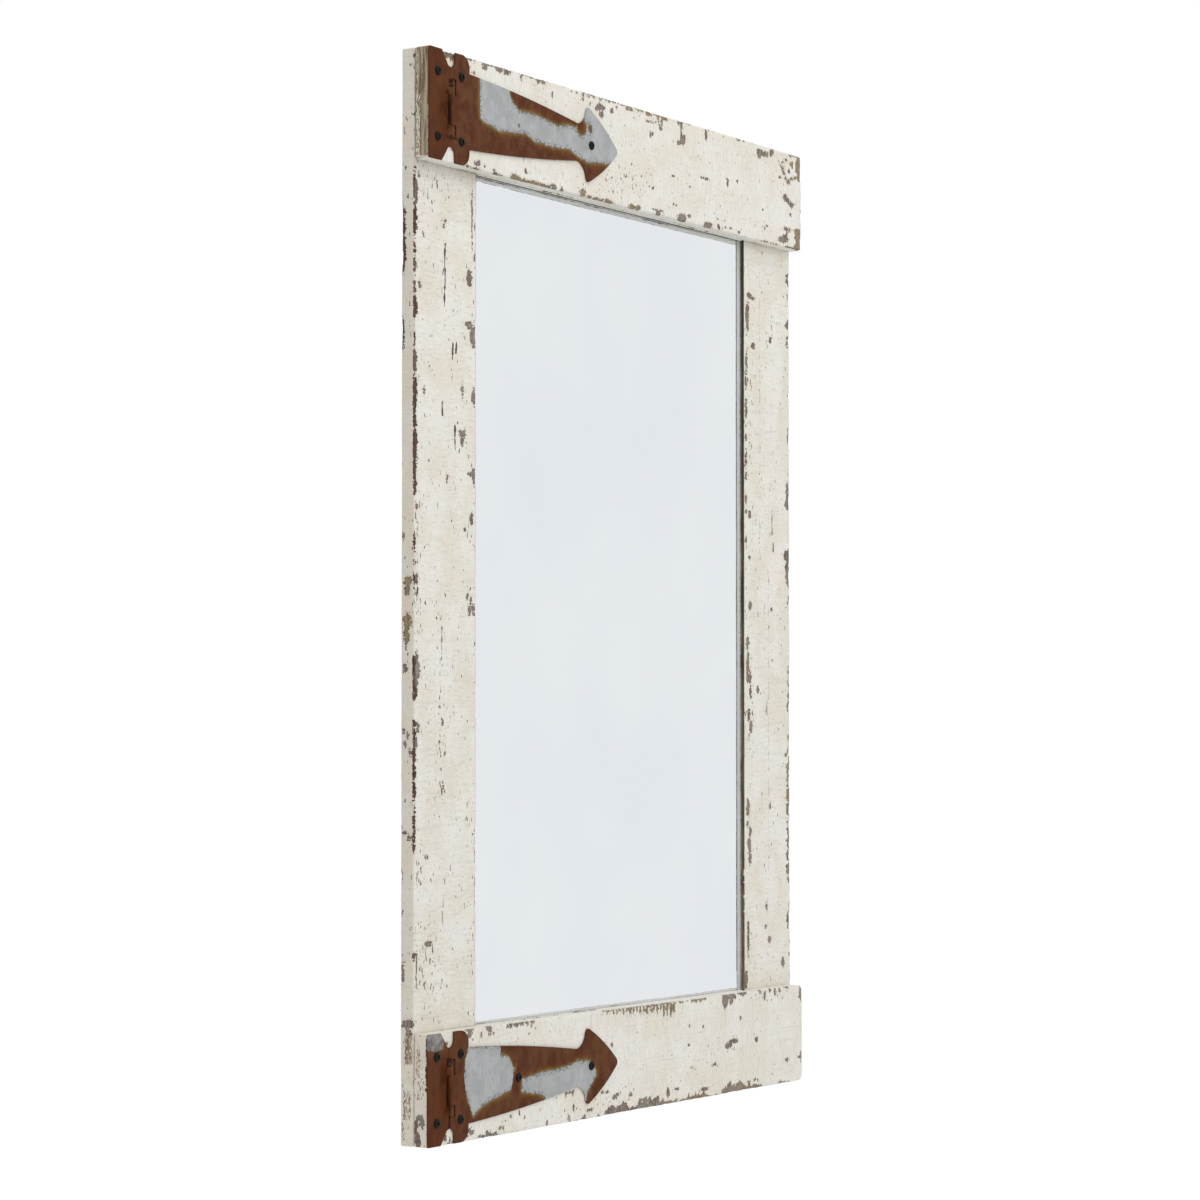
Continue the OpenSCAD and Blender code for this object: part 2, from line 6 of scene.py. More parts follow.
import bmesh
import bpy
import numpy as np
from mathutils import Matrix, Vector


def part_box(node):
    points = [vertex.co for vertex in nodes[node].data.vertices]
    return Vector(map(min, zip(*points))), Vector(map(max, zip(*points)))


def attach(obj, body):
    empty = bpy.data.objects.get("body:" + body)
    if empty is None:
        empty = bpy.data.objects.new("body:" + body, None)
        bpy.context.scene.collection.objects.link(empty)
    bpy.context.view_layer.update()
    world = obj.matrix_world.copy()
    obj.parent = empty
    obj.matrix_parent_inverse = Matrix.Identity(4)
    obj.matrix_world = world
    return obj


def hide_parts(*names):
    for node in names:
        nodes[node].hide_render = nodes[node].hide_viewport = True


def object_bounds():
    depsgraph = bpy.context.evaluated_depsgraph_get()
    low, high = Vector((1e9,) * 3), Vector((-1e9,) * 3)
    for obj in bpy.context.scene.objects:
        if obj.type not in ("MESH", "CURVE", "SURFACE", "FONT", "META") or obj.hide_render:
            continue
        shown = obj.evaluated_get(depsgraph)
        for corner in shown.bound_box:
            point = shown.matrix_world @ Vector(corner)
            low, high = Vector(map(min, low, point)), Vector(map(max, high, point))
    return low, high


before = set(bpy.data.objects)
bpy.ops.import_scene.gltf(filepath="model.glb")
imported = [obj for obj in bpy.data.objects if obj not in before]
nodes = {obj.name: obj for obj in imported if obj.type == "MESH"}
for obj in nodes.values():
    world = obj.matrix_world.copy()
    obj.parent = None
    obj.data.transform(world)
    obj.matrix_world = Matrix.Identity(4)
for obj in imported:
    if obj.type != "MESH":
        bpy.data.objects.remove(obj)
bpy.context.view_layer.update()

MM = 0.001

# Planes and edges that the CAD nodes give
LAYER_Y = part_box("left_stile")[0].y
PLATE_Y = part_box("top_hinge_strap")[0].y
GLASS_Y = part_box("mirror_glass")[0].y
OPENING = (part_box("bottom_rail")[1].z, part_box("top_rail")[0].z)
OPENING_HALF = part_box("right_stile")[0].x

# The level camera that fits the photograph: its place, its line of sight and its lens on a 36 mm sensor
EYE = Vector((-2.779, -1.757, -0.476))
SIGHT = Vector((0.8453, 0.5342, 0))
SENSOR_MM = 36
LENS_MM = 98.46
PHOTO_PX = 1200
FOCAL_PX = LENS_MM / SENSOR_MM * PHOTO_PX
HORIZON_PX = 734.5
# The scene's camera shows the same picture within two pixels, and the outer edges a little better.
# Its slight tilt spares most of the lens shift.
CAMERA_PLACE = Vector((-2.8017, -1.7774, -0.4729))
CAMERA_SIGHT = Vector((0.84438, 0.53574, 0.0248))
CAMERA_LENS_MM = 99.606
CAMERA_SHIFT = 0.04

# How the boards are made: eased edges, saw marks and a slightly uneven face
EASING = 1.7 * MM
SAW_PITCH = 4.5 * MM
SAW_LENGTH = 30 * MM
SAW_DEPTH = 0.22 * MM
UNEVENNESS = 0.35 * MM
BOWS_PER_METRE = 14
# Gap between a plank's own skin and the CAD board's face, so that the two never share a plane
PAINT_GAP = 0.04 * MM
# Where the paint is gone: how far the wood lies below it, and the least half size of a spot
PAINT_THICKNESS_MM = 0.32
LEAST_SPOT = 1.25 * MM
# How deep the marks of a face reach round its corners
FACE_DEPTH = 3 * MM
# The rust that a hinge leaves on the board: half its width and height, its depth, and how far above its middle
# the painted shade of the hinge's recess starts
RUST_STAIN = (8.5 * MM, 28 * MM, 9 * MM, 19 * MM)
# The uprights' edge round the glass is old wood: how far into the board, and how deep behind its front
LIP = 1.2 * MM
OLD_LIP_MM = 4.9
# How dark the painted shade on that edge is at some depths behind the front
LIP_DEPTHS_MM = (0.6, 1.6, 2.6, 3.6, 4.6, 5.4)
LIP_SHADE = (0.7, 0.95, 0.8, 0.55, 0.25, 0.05)
# Half widths of the line of painted shade along the glass, of the strip of board that has it, and of the joints
# seen from behind
GLASS_LINE = 1.1 * MM
SEAM_REACH = 6 * MM
JOINT_HALF = 2.5 * MM
# How far below the top rail the uprights are shaded
SHADE_REACH = 16 * MM
SHARP_DEGREES = 42

ROOM_LIGHT = 0.72
LAMP_WATTS = 26
HIGH_LAMP_WATTS = 15
LAMP_AIM = Vector((0, 0, -0.35))
FLOOR_DROP = 0.9
FLOOR_HALF = 12
FLOOR_TINT = 0.96
# What the lit floor lacks to plain white
FLOOR_GLOW = 1 - FLOOR_TINT * ROOM_LIGHT

STROKE_PX = 1.9


def strokes_below(first, last, step, shortest, longest, gold):
    """Bare strokes side by side below an edge that runs from one pixel to another, growing as they go."""
    count = round((last[0] - first[0]) / step)
    strokes = []
    for number in range(count + 1):
        part = number / count
        x, y = (a + (b - a) * part for a, b in zip(first, last, strict=True))
        length = (shortest + (longest - shortest) * part) * (0.75 + 0.125 * (number * 3 % 5))
        strokes.append((x - STROKE_PX / 2, y, x + STROKE_PX / 2, y + length, gold))
    return strokes


# What the photograph shows on each board, in its own pixels.
# spots: bare spots, by their left, top, right and bottom; side_spots: the same on the board's left face.
# strips: stretches worn along each edge, by their start, end, and reach in mm.
# Both may end with a golden share of their wood, or a brown one, which is below 0.
# weathered: left, top, right, bottom of bare old wood on the left face, and how much of it has lost its paint.
# flecks: left, top, right, bottom of places where small flecks gather, and how thickly.
# cracks: x, top, bottom, and how open.
# hinge: the pin of the hinge on the board. reveal: the side that faces the glass. shaded: how dark the painted
# shadow is just below the top rail. seam and shade_and_wear, on the cross rails: the edge along the glass, and how
# wide its line of painted shade is.
TOP_RAIL = {
    "hinge": "top_hinge_pin",
    "spots": [
        (472, 70, 475, 73.5), (473.5, 58.5, 475, 60), (551, 92, 553, 97.5), (482, 66, 486, 69), (496, 67, 501, 71),
        (503, 69, 508, 74), (520, 74, 522, 79), (536, 78.5, 539, 83), (541, 80, 546, 83.5), (570.5, 89.7, 572, 91.7),
        (575, 91, 577, 93), (580.7, 92.5, 583.5, 95.5), (587, 95, 589, 97), (592.5, 95.8, 594.5, 97.6),
        (599.5, 97.8, 602, 100), (605, 98.8, 607, 100.6), (607.5, 100, 610, 102), (612.5, 101.3, 615, 103.4),
        (616.5, 102, 619, 103.9), (596, 103.6, 603.8, 110.8), (599, 110, 603.5, 118.7), (595, 107, 597.5, 110.5),
        (609.3, 108.7, 612.7, 112.7), (588.7, 102, 590.7, 105), (580.7, 97.3, 583.3, 101.3), (615.3, 106, 617, 108.7),
        (633.3, 117.6, 635.3, 119), (625, 108, 632, 110.4, 0.2), (645, 111.5, 650.7, 116, 0.4),
        (661, 117, 667, 120.4, 0.2), (646, 120.6, 649.5, 122.4), (649.5, 121.4, 653.3, 123.4),
        (654.7, 121.5, 656.3, 123.3), (657.3, 120.4, 658.8, 123.4), (660, 120.6, 661.8, 123),
        (657.5, 123.6, 659.5, 126.5), (659, 126, 661.3, 130.7), (660.5, 123.4, 662, 126.4), (649, 131, 650.6, 137),
        (651.2, 132.2, 653.3, 136), (677.3, 121.3, 680, 125.3), (676.7, 141.3, 680, 145.3), (680, 122.3, 682.4, 132),
        (680, 134, 685, 144), (680, 131, 683, 136), (681.4, 121.8, 684, 123.6), (704, 128.5, 706.5, 131),
        (704.6, 129.5, 706.4, 141), (710.3, 130.2, 714, 132), (736.3, 138.9, 739.5, 141.8),
        (742, 140.3, 743.8, 142.5), (756.3, 149.3, 761, 160), (760, 151.6, 767.6, 157.8), (768.8, 149, 772.4, 157.2),
        (776.8, 160.6, 778.6, 162.7), (783, 160, 786.2, 161.8), (780.6, 162, 783.2, 164.4),
        (778.4, 164.8, 781, 167.2), (780.6, 167, 783.4, 171), (781.4, 171, 784, 175.7), (787, 170, 789, 174.3),
        (778.2, 177, 781, 180), (785.4, 179, 789, 184.8), (788.5, 178.4, 793.7, 182), (784, 178, 786.5, 181),
        (781.9, 195.5, 787.2, 201.8), (785.5, 200, 790, 204.5), (787.6, 202.6, 793, 209.4),
        (788.2, 214.2, 790.2, 217.4), (783, 228.7, 790.2, 233), (785.2, 232.4, 787.4, 237.4),
        (777.9, 238.5, 785, 244.3), (780.5, 236, 787.6, 244), (703.9, 223, 711.6, 229.5, 0.4),
        (716.9, 225.6, 719.6, 230.5), (737.3, 232, 739.7, 234.5), (724, 227.5, 726, 229.5),
        (728.5, 228, 731.5, 230.5), (763, 228, 765, 230.5), (765, 226, 767.2, 228), (761, 209.7, 763, 211.6),
        (699.5, 177.6, 704, 179.3), (703.5, 178.7, 708.2, 180.8), (725.4, 179, 728, 181), (726, 181, 727.8, 187.3),
        (735.6, 180.8, 737.8, 183), (688.7, 186.6, 690.6, 188.7), (677.7, 214, 685.3, 222.6),
        (681.5, 220, 685.2, 224), (687.5, 215.3, 689.9, 218.4), (672, 203.7, 673.6, 206), (675, 205, 676.7, 207.6),
        (654.6, 210, 663.4, 213), (656, 212, 659.6, 216.1), (628.4, 204.8, 634, 210, 0.9),
        (634.2, 206, 639.8, 210.7, 0.7), (579.4, 189.8, 585.8, 198, 0.8), (587.2, 195.6, 592.6, 199.4, 0.7),
        (592.2, 197, 598.4, 200.6, 0.7), (598.2, 198.2, 604.4, 202, 0.7), (604.4, 199.8, 611.4, 203.6, 0.7),
        (560, 188, 563.4, 192.8), (550.5, 184.5, 556, 189.5, 0.3), (647.9, 185.8, 649.7, 188),
        (651.4, 187.2, 653.4, 189.8), (671.2, 175.7, 674.3, 177.7), (474.5, 160.5, 480, 165), (483.5, 165, 485, 167),
        (491, 168, 495, 171), (493, 172.5, 501, 177), (524, 168, 527, 174), (510, 174, 520, 181.5, 1),
        (518, 178, 529, 184.5, 1), (528, 181, 541, 187, 1), (538, 184, 551, 189, 0.6),
    ],
    "side_spots": [(420.6, 58, 423.8, 96, -0.6), (424.8, 46, 427, 60, -0.3), (418, 47, 420, 60, -0.2)],
    "strips": {
        "high": [
            (439, 460, 8, -0.2), (456, 472, 5.4, -0.2), (479, 513, 4.8), (518, 537, 2.6), (534, 548, 3.8),
            (562, 568, 1.2), (580, 619, 1.4), (619, 668, 4.4, 0.9), (681, 691, 1.6), (703, 716, 1.5),
            (787, 804, 5.5, 0.2),
        ],
        "low": [(462, 482, 2), (760, 779, 1.6, 0.2), (784, 799, 2.2, 0.2)],
        "right": [(157, 184, 19, 0.7), (181, 199, 2.4), (206, 229, 3.2, 0.2), (231, 254, 19, 0.7)],
    },
    "weathered": [
        (417, 40, 429, 92, 1), (413, 40, 417.4, 92, 0.62), (419, 88, 429, 104, 0.8), (413, 88, 419, 104, 0.44),
        (419, 100, 426.4, 155, 0.84), (413, 100, 419, 155, 0.5),
    ],
    "flecks": [
        (592, 158, 642, 206, 0.75), (770, 155, 798, 190, 0.5), (566, 84, 622, 104, 0.5), (700, 222, 770, 236, 0.4),
        (455, 60, 478, 80, 0.6),
    ],
}
BOTTOM_RAIL = {
    "hinge": "bottom_hinge_pin",
    "spots": strokes_below((603, 1009), (673, 1000.4), 3.3, 4, 12, 0.8) + [
        (446, 1041, 449.3, 1045.6), (466, 1026.6, 475, 1032), (468, 1031, 471.8, 1038.8),
        (472.6, 1038, 474.2, 1040.2), (486.8, 1024, 493, 1031), (488.8, 1030.5, 491.8, 1036.2),
        (480.6, 1032.2, 482.9, 1037.4), (493, 1031.6, 494.6, 1035), (507, 1025, 508.6, 1027.2),
        (510, 1024, 513, 1028.2), (516, 1025, 517.6, 1027.2), (531, 1023.4, 532.8, 1026.8),
        (528.6, 1032, 530.2, 1033.9), (535, 1026.6, 536.2, 1029.4), (510, 1113, 511.8, 1117),
        (518.7, 1110, 520.2, 1114.2), (523.6, 1114, 525.1, 1118), (539.6, 1107, 541.1, 1110),
        (546.4, 1120, 548.1, 1124.6), (565, 1090, 566.4, 1096), (571.5, 1090, 573.1, 1095),
        (566, 1090.6, 573, 1092.2), (572.4, 1103, 574.6, 1109), (567.5, 1113, 569.6, 1118),
        (568.4, 1117, 570.4, 1122.4), (582, 1113.6, 585.4, 1119.4), (578, 1118, 585.6, 1120.4),
        (586, 1108, 589, 1111.4), (588.6, 1107, 592.6, 1110), (596, 1115, 598, 1118), (597.4, 1113, 599.2, 1116),
        (604.8, 1110, 608.2, 1114.2), (612, 1094, 616, 1098.4), (615, 1092.2, 619, 1096),
        (600.5, 1090.4, 604, 1092.4), (605, 1090, 608.6, 1092), (608.6, 1107.4, 613, 1112, 0.1),
        (617, 1106, 622, 1112, 0.1), (469, 1127, 475, 1133), (466.8, 1133, 469, 1136.2), (443.7, 1132, 447, 1141),
        (449.8, 1137, 451.8, 1142.6), (486, 1129.5, 490, 1135), (493, 1131, 497, 1134.4), (500, 1124.6, 504, 1128.6),
        (478, 1134.6, 484, 1138.6), (610, 1042, 612.6, 1046.6), (721, 992, 727, 1008, 0.1), (725, 992, 735, 999),
        (728, 998, 732, 1004), (739, 991, 744, 995), (782, 984, 787, 988), (728, 1038, 736, 1043),
        (724, 1042, 730, 1048), (753, 1036.6, 756, 1040.6), (738, 1016, 740, 1020), (687, 1024, 690, 1027),
        (701, 1025.4, 703, 1027.2), (687, 1043, 689, 1046), (689, 1065, 691.6, 1068), (783, 1057, 787, 1060.6),
        (628, 1091.6, 632, 1095.6), (674, 1086.8, 678.6, 1089), (700, 1086.4, 707, 1089.4),
        (710.6, 1062, 716, 1065.6), (665.6, 1003, 668, 1010, 0.3), (669, 1004, 671.6, 1014.6, 0.2),
        (638, 1009, 641, 1013, 0.3), (650, 1008, 653, 1012.4, 0.3), (757.4, 988, 759.4, 994), (762, 990, 764, 999),
        (767, 986, 769, 992), (772, 987, 774.4, 995), (776.6, 988, 778.2, 993), (665.6, 1088, 668.4, 1096, 0.2),
    ],
    "side_spots": [
        (413.6, 1120, 418.6, 1132, -0.2), (415, 1130, 420.4, 1148, -0.2), (416, 1112.6, 423, 1118),
        (421, 1115, 425, 1126), (426.2, 1032, 428.8, 1050, -0.9), (426, 1049, 428.4, 1067, -0.9),
        (425.6, 1066, 428.2, 1086, -0.9), (416, 1031, 427, 1033.4, -0.6),
    ],
    "strips": {
        "high": [(506, 537, 3.6), (604, 674, 1.6, 0.5), (672, 688, 2.2), (690, 706, 4.4, 0.8), (736, 746, 2.2)],
        "low": [
            (604, 630, 8.6, -0.1), (626, 644, 4.4, -0.2), (636, 662, 9), (654, 707, 6, 0.5), (720, 761, 9, 0.3),
            (774, 788, 2.2), (446, 462, 2), (478, 500, 2.6), (700, 722, 1),
        ],
        "right": [(982, 1002, 13, 0.2), (1013, 1023, 4), (1049, 1062, 13)],
    },
    "weathered": [(416, 1048, 420.6, 1078, 0.55), (417, 1080, 421, 1100, 0.5), (420, 1060, 425, 1100, 0.36)],
    "flecks": [
        (590, 1084, 640, 1112, 0.5), (700, 1036, 740, 1052, 0.5), (745, 985, 780, 1002, 0.6),
        (600, 1004, 672, 1014, 0.8), (455, 1020, 520, 1038, 0.4), (560, 1100, 600, 1120, 0.4),
    ],
}
LEFT_STILE = {
    "reveal": "high", "shaded": 0.13,
    "spots": [
        (440, 218.5, 442, 222), (444, 219, 446, 223), (442, 223, 444.2, 229), (466, 271, 472, 287),
        (466, 322, 473, 330), (470, 328, 476, 348), (461, 384, 463.6, 397), (459, 431, 466, 439),
        (460, 438, 463.4, 448), (471, 390, 476, 406), (472, 470, 476.4, 486), (467.6, 473.6, 472.4, 477),
        (415.2, 504, 418, 509), (415.6, 574, 418, 585), (415.4, 590, 418, 596), (414, 656, 419, 690),
        (416, 664, 420.4, 678), (413.4, 689, 416.4, 700), (412.6, 724, 415.4, 737), (416.6, 724, 420, 734),
        (414, 735, 417.6, 750), (474, 221, 477.2, 234), (473.4, 253, 476.8, 264), (418, 279, 421, 290),
        (422.4, 387, 425.4, 395), (466, 594, 469, 601), (469.4, 598, 472, 607), (471, 606, 475, 612),
        (468, 608, 471, 617), (472.4, 612, 476, 617.4), (446, 475.6, 448.4, 482.6), (422, 230, 424.4, 237.6),
        (469.6, 513, 473.4, 525), (463.4, 528, 466.6, 532.6), (425, 941, 432.6, 947), (417, 170, 419.6, 176),
        (471, 188, 472.4, 250, 0.5), (439, 706, 440.6, 711), (441.6, 722, 443, 727), (438.8, 741, 440.2, 745),
        (444, 752, 445.6, 757.4), (440.4, 768, 442, 774), (442.6, 783, 444.2, 789),
    ],
    "side_spots": [
        (399, 203, 404.8, 245, -1), (399, 232, 405, 273, -1), (400, 320, 404, 348, -1), (406, 194, 408, 198),
        (403, 577, 412, 586, 0.8), (404, 584, 410, 597, 0.5), (402, 614, 411, 628, 0.9), (403, 628, 409, 644, 0.8),
        (404.4, 642, 406, 649, 0.4), (402, 664, 407, 674), (402, 728, 405, 734), (406, 733, 409, 741),
        (403, 742, 407, 749), (408, 748, 411, 757), (402, 831, 406, 836), (406, 835, 411, 842),
        (401, 533, 404.4, 540, 0.6), (402, 1019, 413.6, 1030), (405, 1028, 412, 1037), (411.6, 50, 413.6, 56),
        (408.6, 62, 410.6, 65), (401, 962, 404.4, 984, 0.4), (400.6, 872, 402.4, 884, 0.2), (401, 908, 403, 916),
    ],
    "strips": {
        "low": [
            (164, 181, 2.6, -1), (178, 205, 5, -0.3), (204, 236, 4.4, -1), (234, 262, 2.8, -1), (259, 273, 3.6, -0.5),
            (279, 293, 3.4, -0.4), (293, 319, 4.6, -0.9), (318, 352, 1.6, -1), (350, 373, 4.2, -0.4),
            (371, 432, 4.4, -0.9), (426, 470, 5.2, -0.9), (462, 497, 4, -0.9), (534, 547, 3, -1), (545, 596, 1.4, -1),
            (656, 702, 5, -1), (720, 756, 3.6, -1), (748, 806, 3.8, -1), (800, 856, 3.2, -0.8), (952, 962, 3.2, -0.6),
        ],
        "high": [
            (216, 236, 2), (252, 265, 1.8, -1), (320, 350, 2.2), (386, 410, 2.2), (466, 490, 2.6), (560, 600, 1.2),
            (600, 620, 2, -1), (685, 720, 1.2), (826, 866, 2.6, -0.3), (872, 912, 2.6, -0.2), (938, 952, 2.4),
        ],
    },
    "weathered": [(404, 1034, 413, 1064, 0.62), (403, 1090, 411, 1120, 0.55), (401, 1120, 409, 1140, 0.4)],
    "flecks": [
        (425, 172, 447, 216, 0.55), (440, 244, 447, 300, 0.5), (464, 300, 477, 345, 0.5), (466, 440, 477, 470, 0.5),
        (415, 430, 420, 500, 0.7), (462, 520, 477, 550, 0.4), (438, 700, 447, 792, 0.5), (468, 770, 477, 880, 0.4),
        (411, 488, 423, 640, 0.9), (435, 560, 447, 625, 0.3), (412, 1000, 430, 1018, 0.4), (415, 852, 434, 896, 0.6),
        (415, 930, 442, 1012, 0.75), (434, 756, 450, 806, 0.4), (466, 880, 477, 1000, 0.3),
    ],
    "cracks": [
        (444.5, 245, 306, 1), (452.5, 344, 359, 1), (456, 343, 352, 1), (442.5, 404, 414, 1), (455, 428, 450, 1),
        (442, 630, 660, 0.7), (440.5, 660, 693, 0.5), (443.2, 892, 906, 0.4), (442.6, 912, 923, 0.4),
        (417, 955, 988, 0.8),
    ],
}
RIGHT_STILE = {
    "reveal": "low",
    "spots": [
        (744.6, 301, 748.4, 333), (744.4, 352, 746.4, 372), (743.8, 376, 745.8, 390), (746, 294, 750.6, 299.4),
        (750, 298, 754, 302), (750, 344.6, 754, 350.6), (767.6, 338, 770.6, 344.6), (743.8, 400, 746, 420),
        (743.8, 436, 746, 442.4), (743.8, 452, 746, 468), (743.8, 473, 746, 481), (743.8, 496, 746, 507),
        (743.8, 511, 746, 516), (743.8, 538, 746, 545), (747, 512, 750, 520), (747, 556, 750, 562.4),
        (747.4, 602, 750, 611), (745, 638, 748, 652), (745, 656, 748, 684, 0.3), (747, 672, 750.4, 686),
        (748, 685, 750.6, 700), (755, 688, 757.6, 694), (746, 710, 749, 724), (748, 722, 751, 735),
        (745, 800, 748.6, 819, 0.3), (745, 822, 747, 828), (747.6, 828, 750, 836), (746, 838, 749.6, 852),
        (747, 852, 750, 866), (745.6, 921, 748, 955), (743, 970, 746, 990, 0.2), (764, 903, 766, 912),
        (763.4, 924.6, 765.2, 929), (766, 936, 769, 943), (779, 957, 782.6, 966.6), (782.6, 552, 786.6, 562),
        (783.4, 564, 787, 574), (785, 572, 789, 588, 0.8), (770, 661, 772, 664), (769, 609, 771, 614),
        (787, 905, 789.6, 917), (784.6, 806, 788.4, 815), (786, 474, 789, 477.6),
    ],
    "strips": {
        "low": [(970, 990, 2.6, 0.2)],
        "high": [
            (274, 289, 8.6), (296, 309, 9), (320, 332, 8.4), (338, 351, 7.4), (392, 400, 5.6), (429, 450, 7),
            (485, 513, 8), (551, 574, 7.4), (571, 588, 9.4, 0.8), (597, 616, 7, 0.2), (666, 722, 5.6, 0.5),
            (735, 772, 9.6, 0.8), (768, 804, 7.4, 0.8), (804, 816, 8.4, 0.1), (820, 850, 9, 0.1),
            (850, 884, 8.6, 0.2), (900, 930, 7),
        ],
    },
    "flecks": [
        (743, 340, 752, 480, 0.5), (765, 320, 776, 350, 0.4), (743, 690, 753, 750, 0.6), (763, 590, 772, 680, 0.3),
    ],
    "cracks": [
        (758.8, 270, 560, 0.12), (767, 580, 880, 0.12), (771, 513, 536, 1), (772, 546, 553, 1), (765.5, 704, 716, 1),
        (768.5, 803, 809, 1),
    ],
}

# Bare galvanised patches on the hinges: their left and right sides, and their upper and lower borders, as pixels
# from left to right
TOP_PATCHES = [
    ((479.5, 625),
     [(479, 40), (508, 60), (509, 93), (512, 101.5), (518, 110), (534, 114), (547.6, 121), (557.5, 126), (567, 125),
      (574, 127), (579, 128), (582, 60), (620, 60)],
     [(479, 116), (481, 119), (498, 130.5), (525.5, 133.5), (534, 141), (550, 146), (568.6, 149), (576.6, 155.7),
      (587, 162), (611, 164.5), (620, 165)]),
]
BOTTOM_PATCHES = [
    ((464.6, 514.2),
     [(464, 1100), (464.8, 1074), (465.7, 1057), (469.4, 1046), (500.6, 1045), (500.8, 1054), (508.6, 1055.6),
      (511.2, 1060), (513.9, 1068)],
     [(464, 1072), (465.7, 1089), (468.6, 1100), (471.2, 1109), (473.4, 1114.5), (475.7, 1112.4), (482.8, 1104.4),
      (489.9, 1100), (497, 1096.4), (504.1, 1092), (510.8, 1088.9), (512.4, 1081), (513.9, 1068)]),
    ((521.9, 595.4),
     [(521.6, 1078.7), (532.6, 1075), (545, 1070.6), (555, 1069), (565, 1066.5), (573, 1063), (578, 1060),
      (589, 1060.5), (595, 1068), (596, 1073)],
     [(521.6, 1090.2), (530.8, 1092), (541, 1093), (545, 1097), (547, 1130), (585.6, 1130), (586, 1093),
      (589.5, 1086), (592, 1081), (596, 1073)]),
    ((420, 444),
     [(428, 1000), (444, 1000)],
     [(428, 1050), (436, 1051), (440, 1050), (443.6, 1048), (446, 1044)]),
]
# The column of the joint between leaf and strap, and how far right of it and how softly the warmer rust there ends
JOINT_PX = 447
WARM_SHIFT = 8 * MM
WARM_EDGE = 14 * MM
# Rust spots in the top hinge's patch, painted shade in the joints between the knuckles, and darker orange painted
# shade on the knuckles' flank beside them: left, top, right and bottom
TOP_RUST_SPOTS = [(575.5, 117, 586, 135.8), (587.5, 124.5, 591.6, 133.6)]
TOP_RECESS_SHADE = [(447, 96.5, 451, 125), (447.8, 78.4, 454.8, 86.4), (445.6, 89, 448.2, 92.4), (447, 136, 456.6, 138.6)]
BOTTOM_RECESS_SHADE = [(446.3, 1076.6, 450, 1106.6), (447, 1057.6, 452, 1066), (449, 1108, 450.8, 1130)]
TOP_KNUCKLE_SHADE = (439, 82, 449, 136)
BOTTOM_KNUCKLE_SHADE = (440, 1056, 452, 1120)


def sight_along(px):
    """The level direction in which the photograph's column px looks."""
    slope = (px - PHOTO_PX / 2) / FOCAL_PX
    return Vector((SIGHT.x + slope * SIGHT.y, SIGHT.y - slope * SIGHT.x))


def x_seen(px, y):
    """The x on the plane of constant y that the photograph's column px shows."""
    ray = sight_along(px)
    return EYE.x + (y - EYE.y) * ray.x / ray.y


def y_seen(px, x):
    """The y on the plane of constant x that the photograph's column px shows."""
    ray = sight_along(px)
    return EYE.y + (x - EYE.x) * ray.y / ray.x


def z_seen(py, x, y):
    """The height that the photograph's row py shows at the place (x, y)."""
    depth = (Vector((x, y, 0)) - Vector((EYE.x, EYE.y, 0))).dot(SIGHT)
    return EYE.z + depth * (HORIZON_PX - py) / FOCAL_PX


def seen(px, py, y):
    """The x and height on the plane of constant y that a pixel of the photograph shows."""
    x = x_seen(px, y)
    return x, z_seen(py, x, y)


def shade(red, green, blue):
    """A colour from its 0 to 255 screen values."""
    return (*(((v / 255 + 0.055) / 1.055) ** 2.4 if v > 10 else v / 255 / 12.92 for v in (red, green, blue)), 1.0)


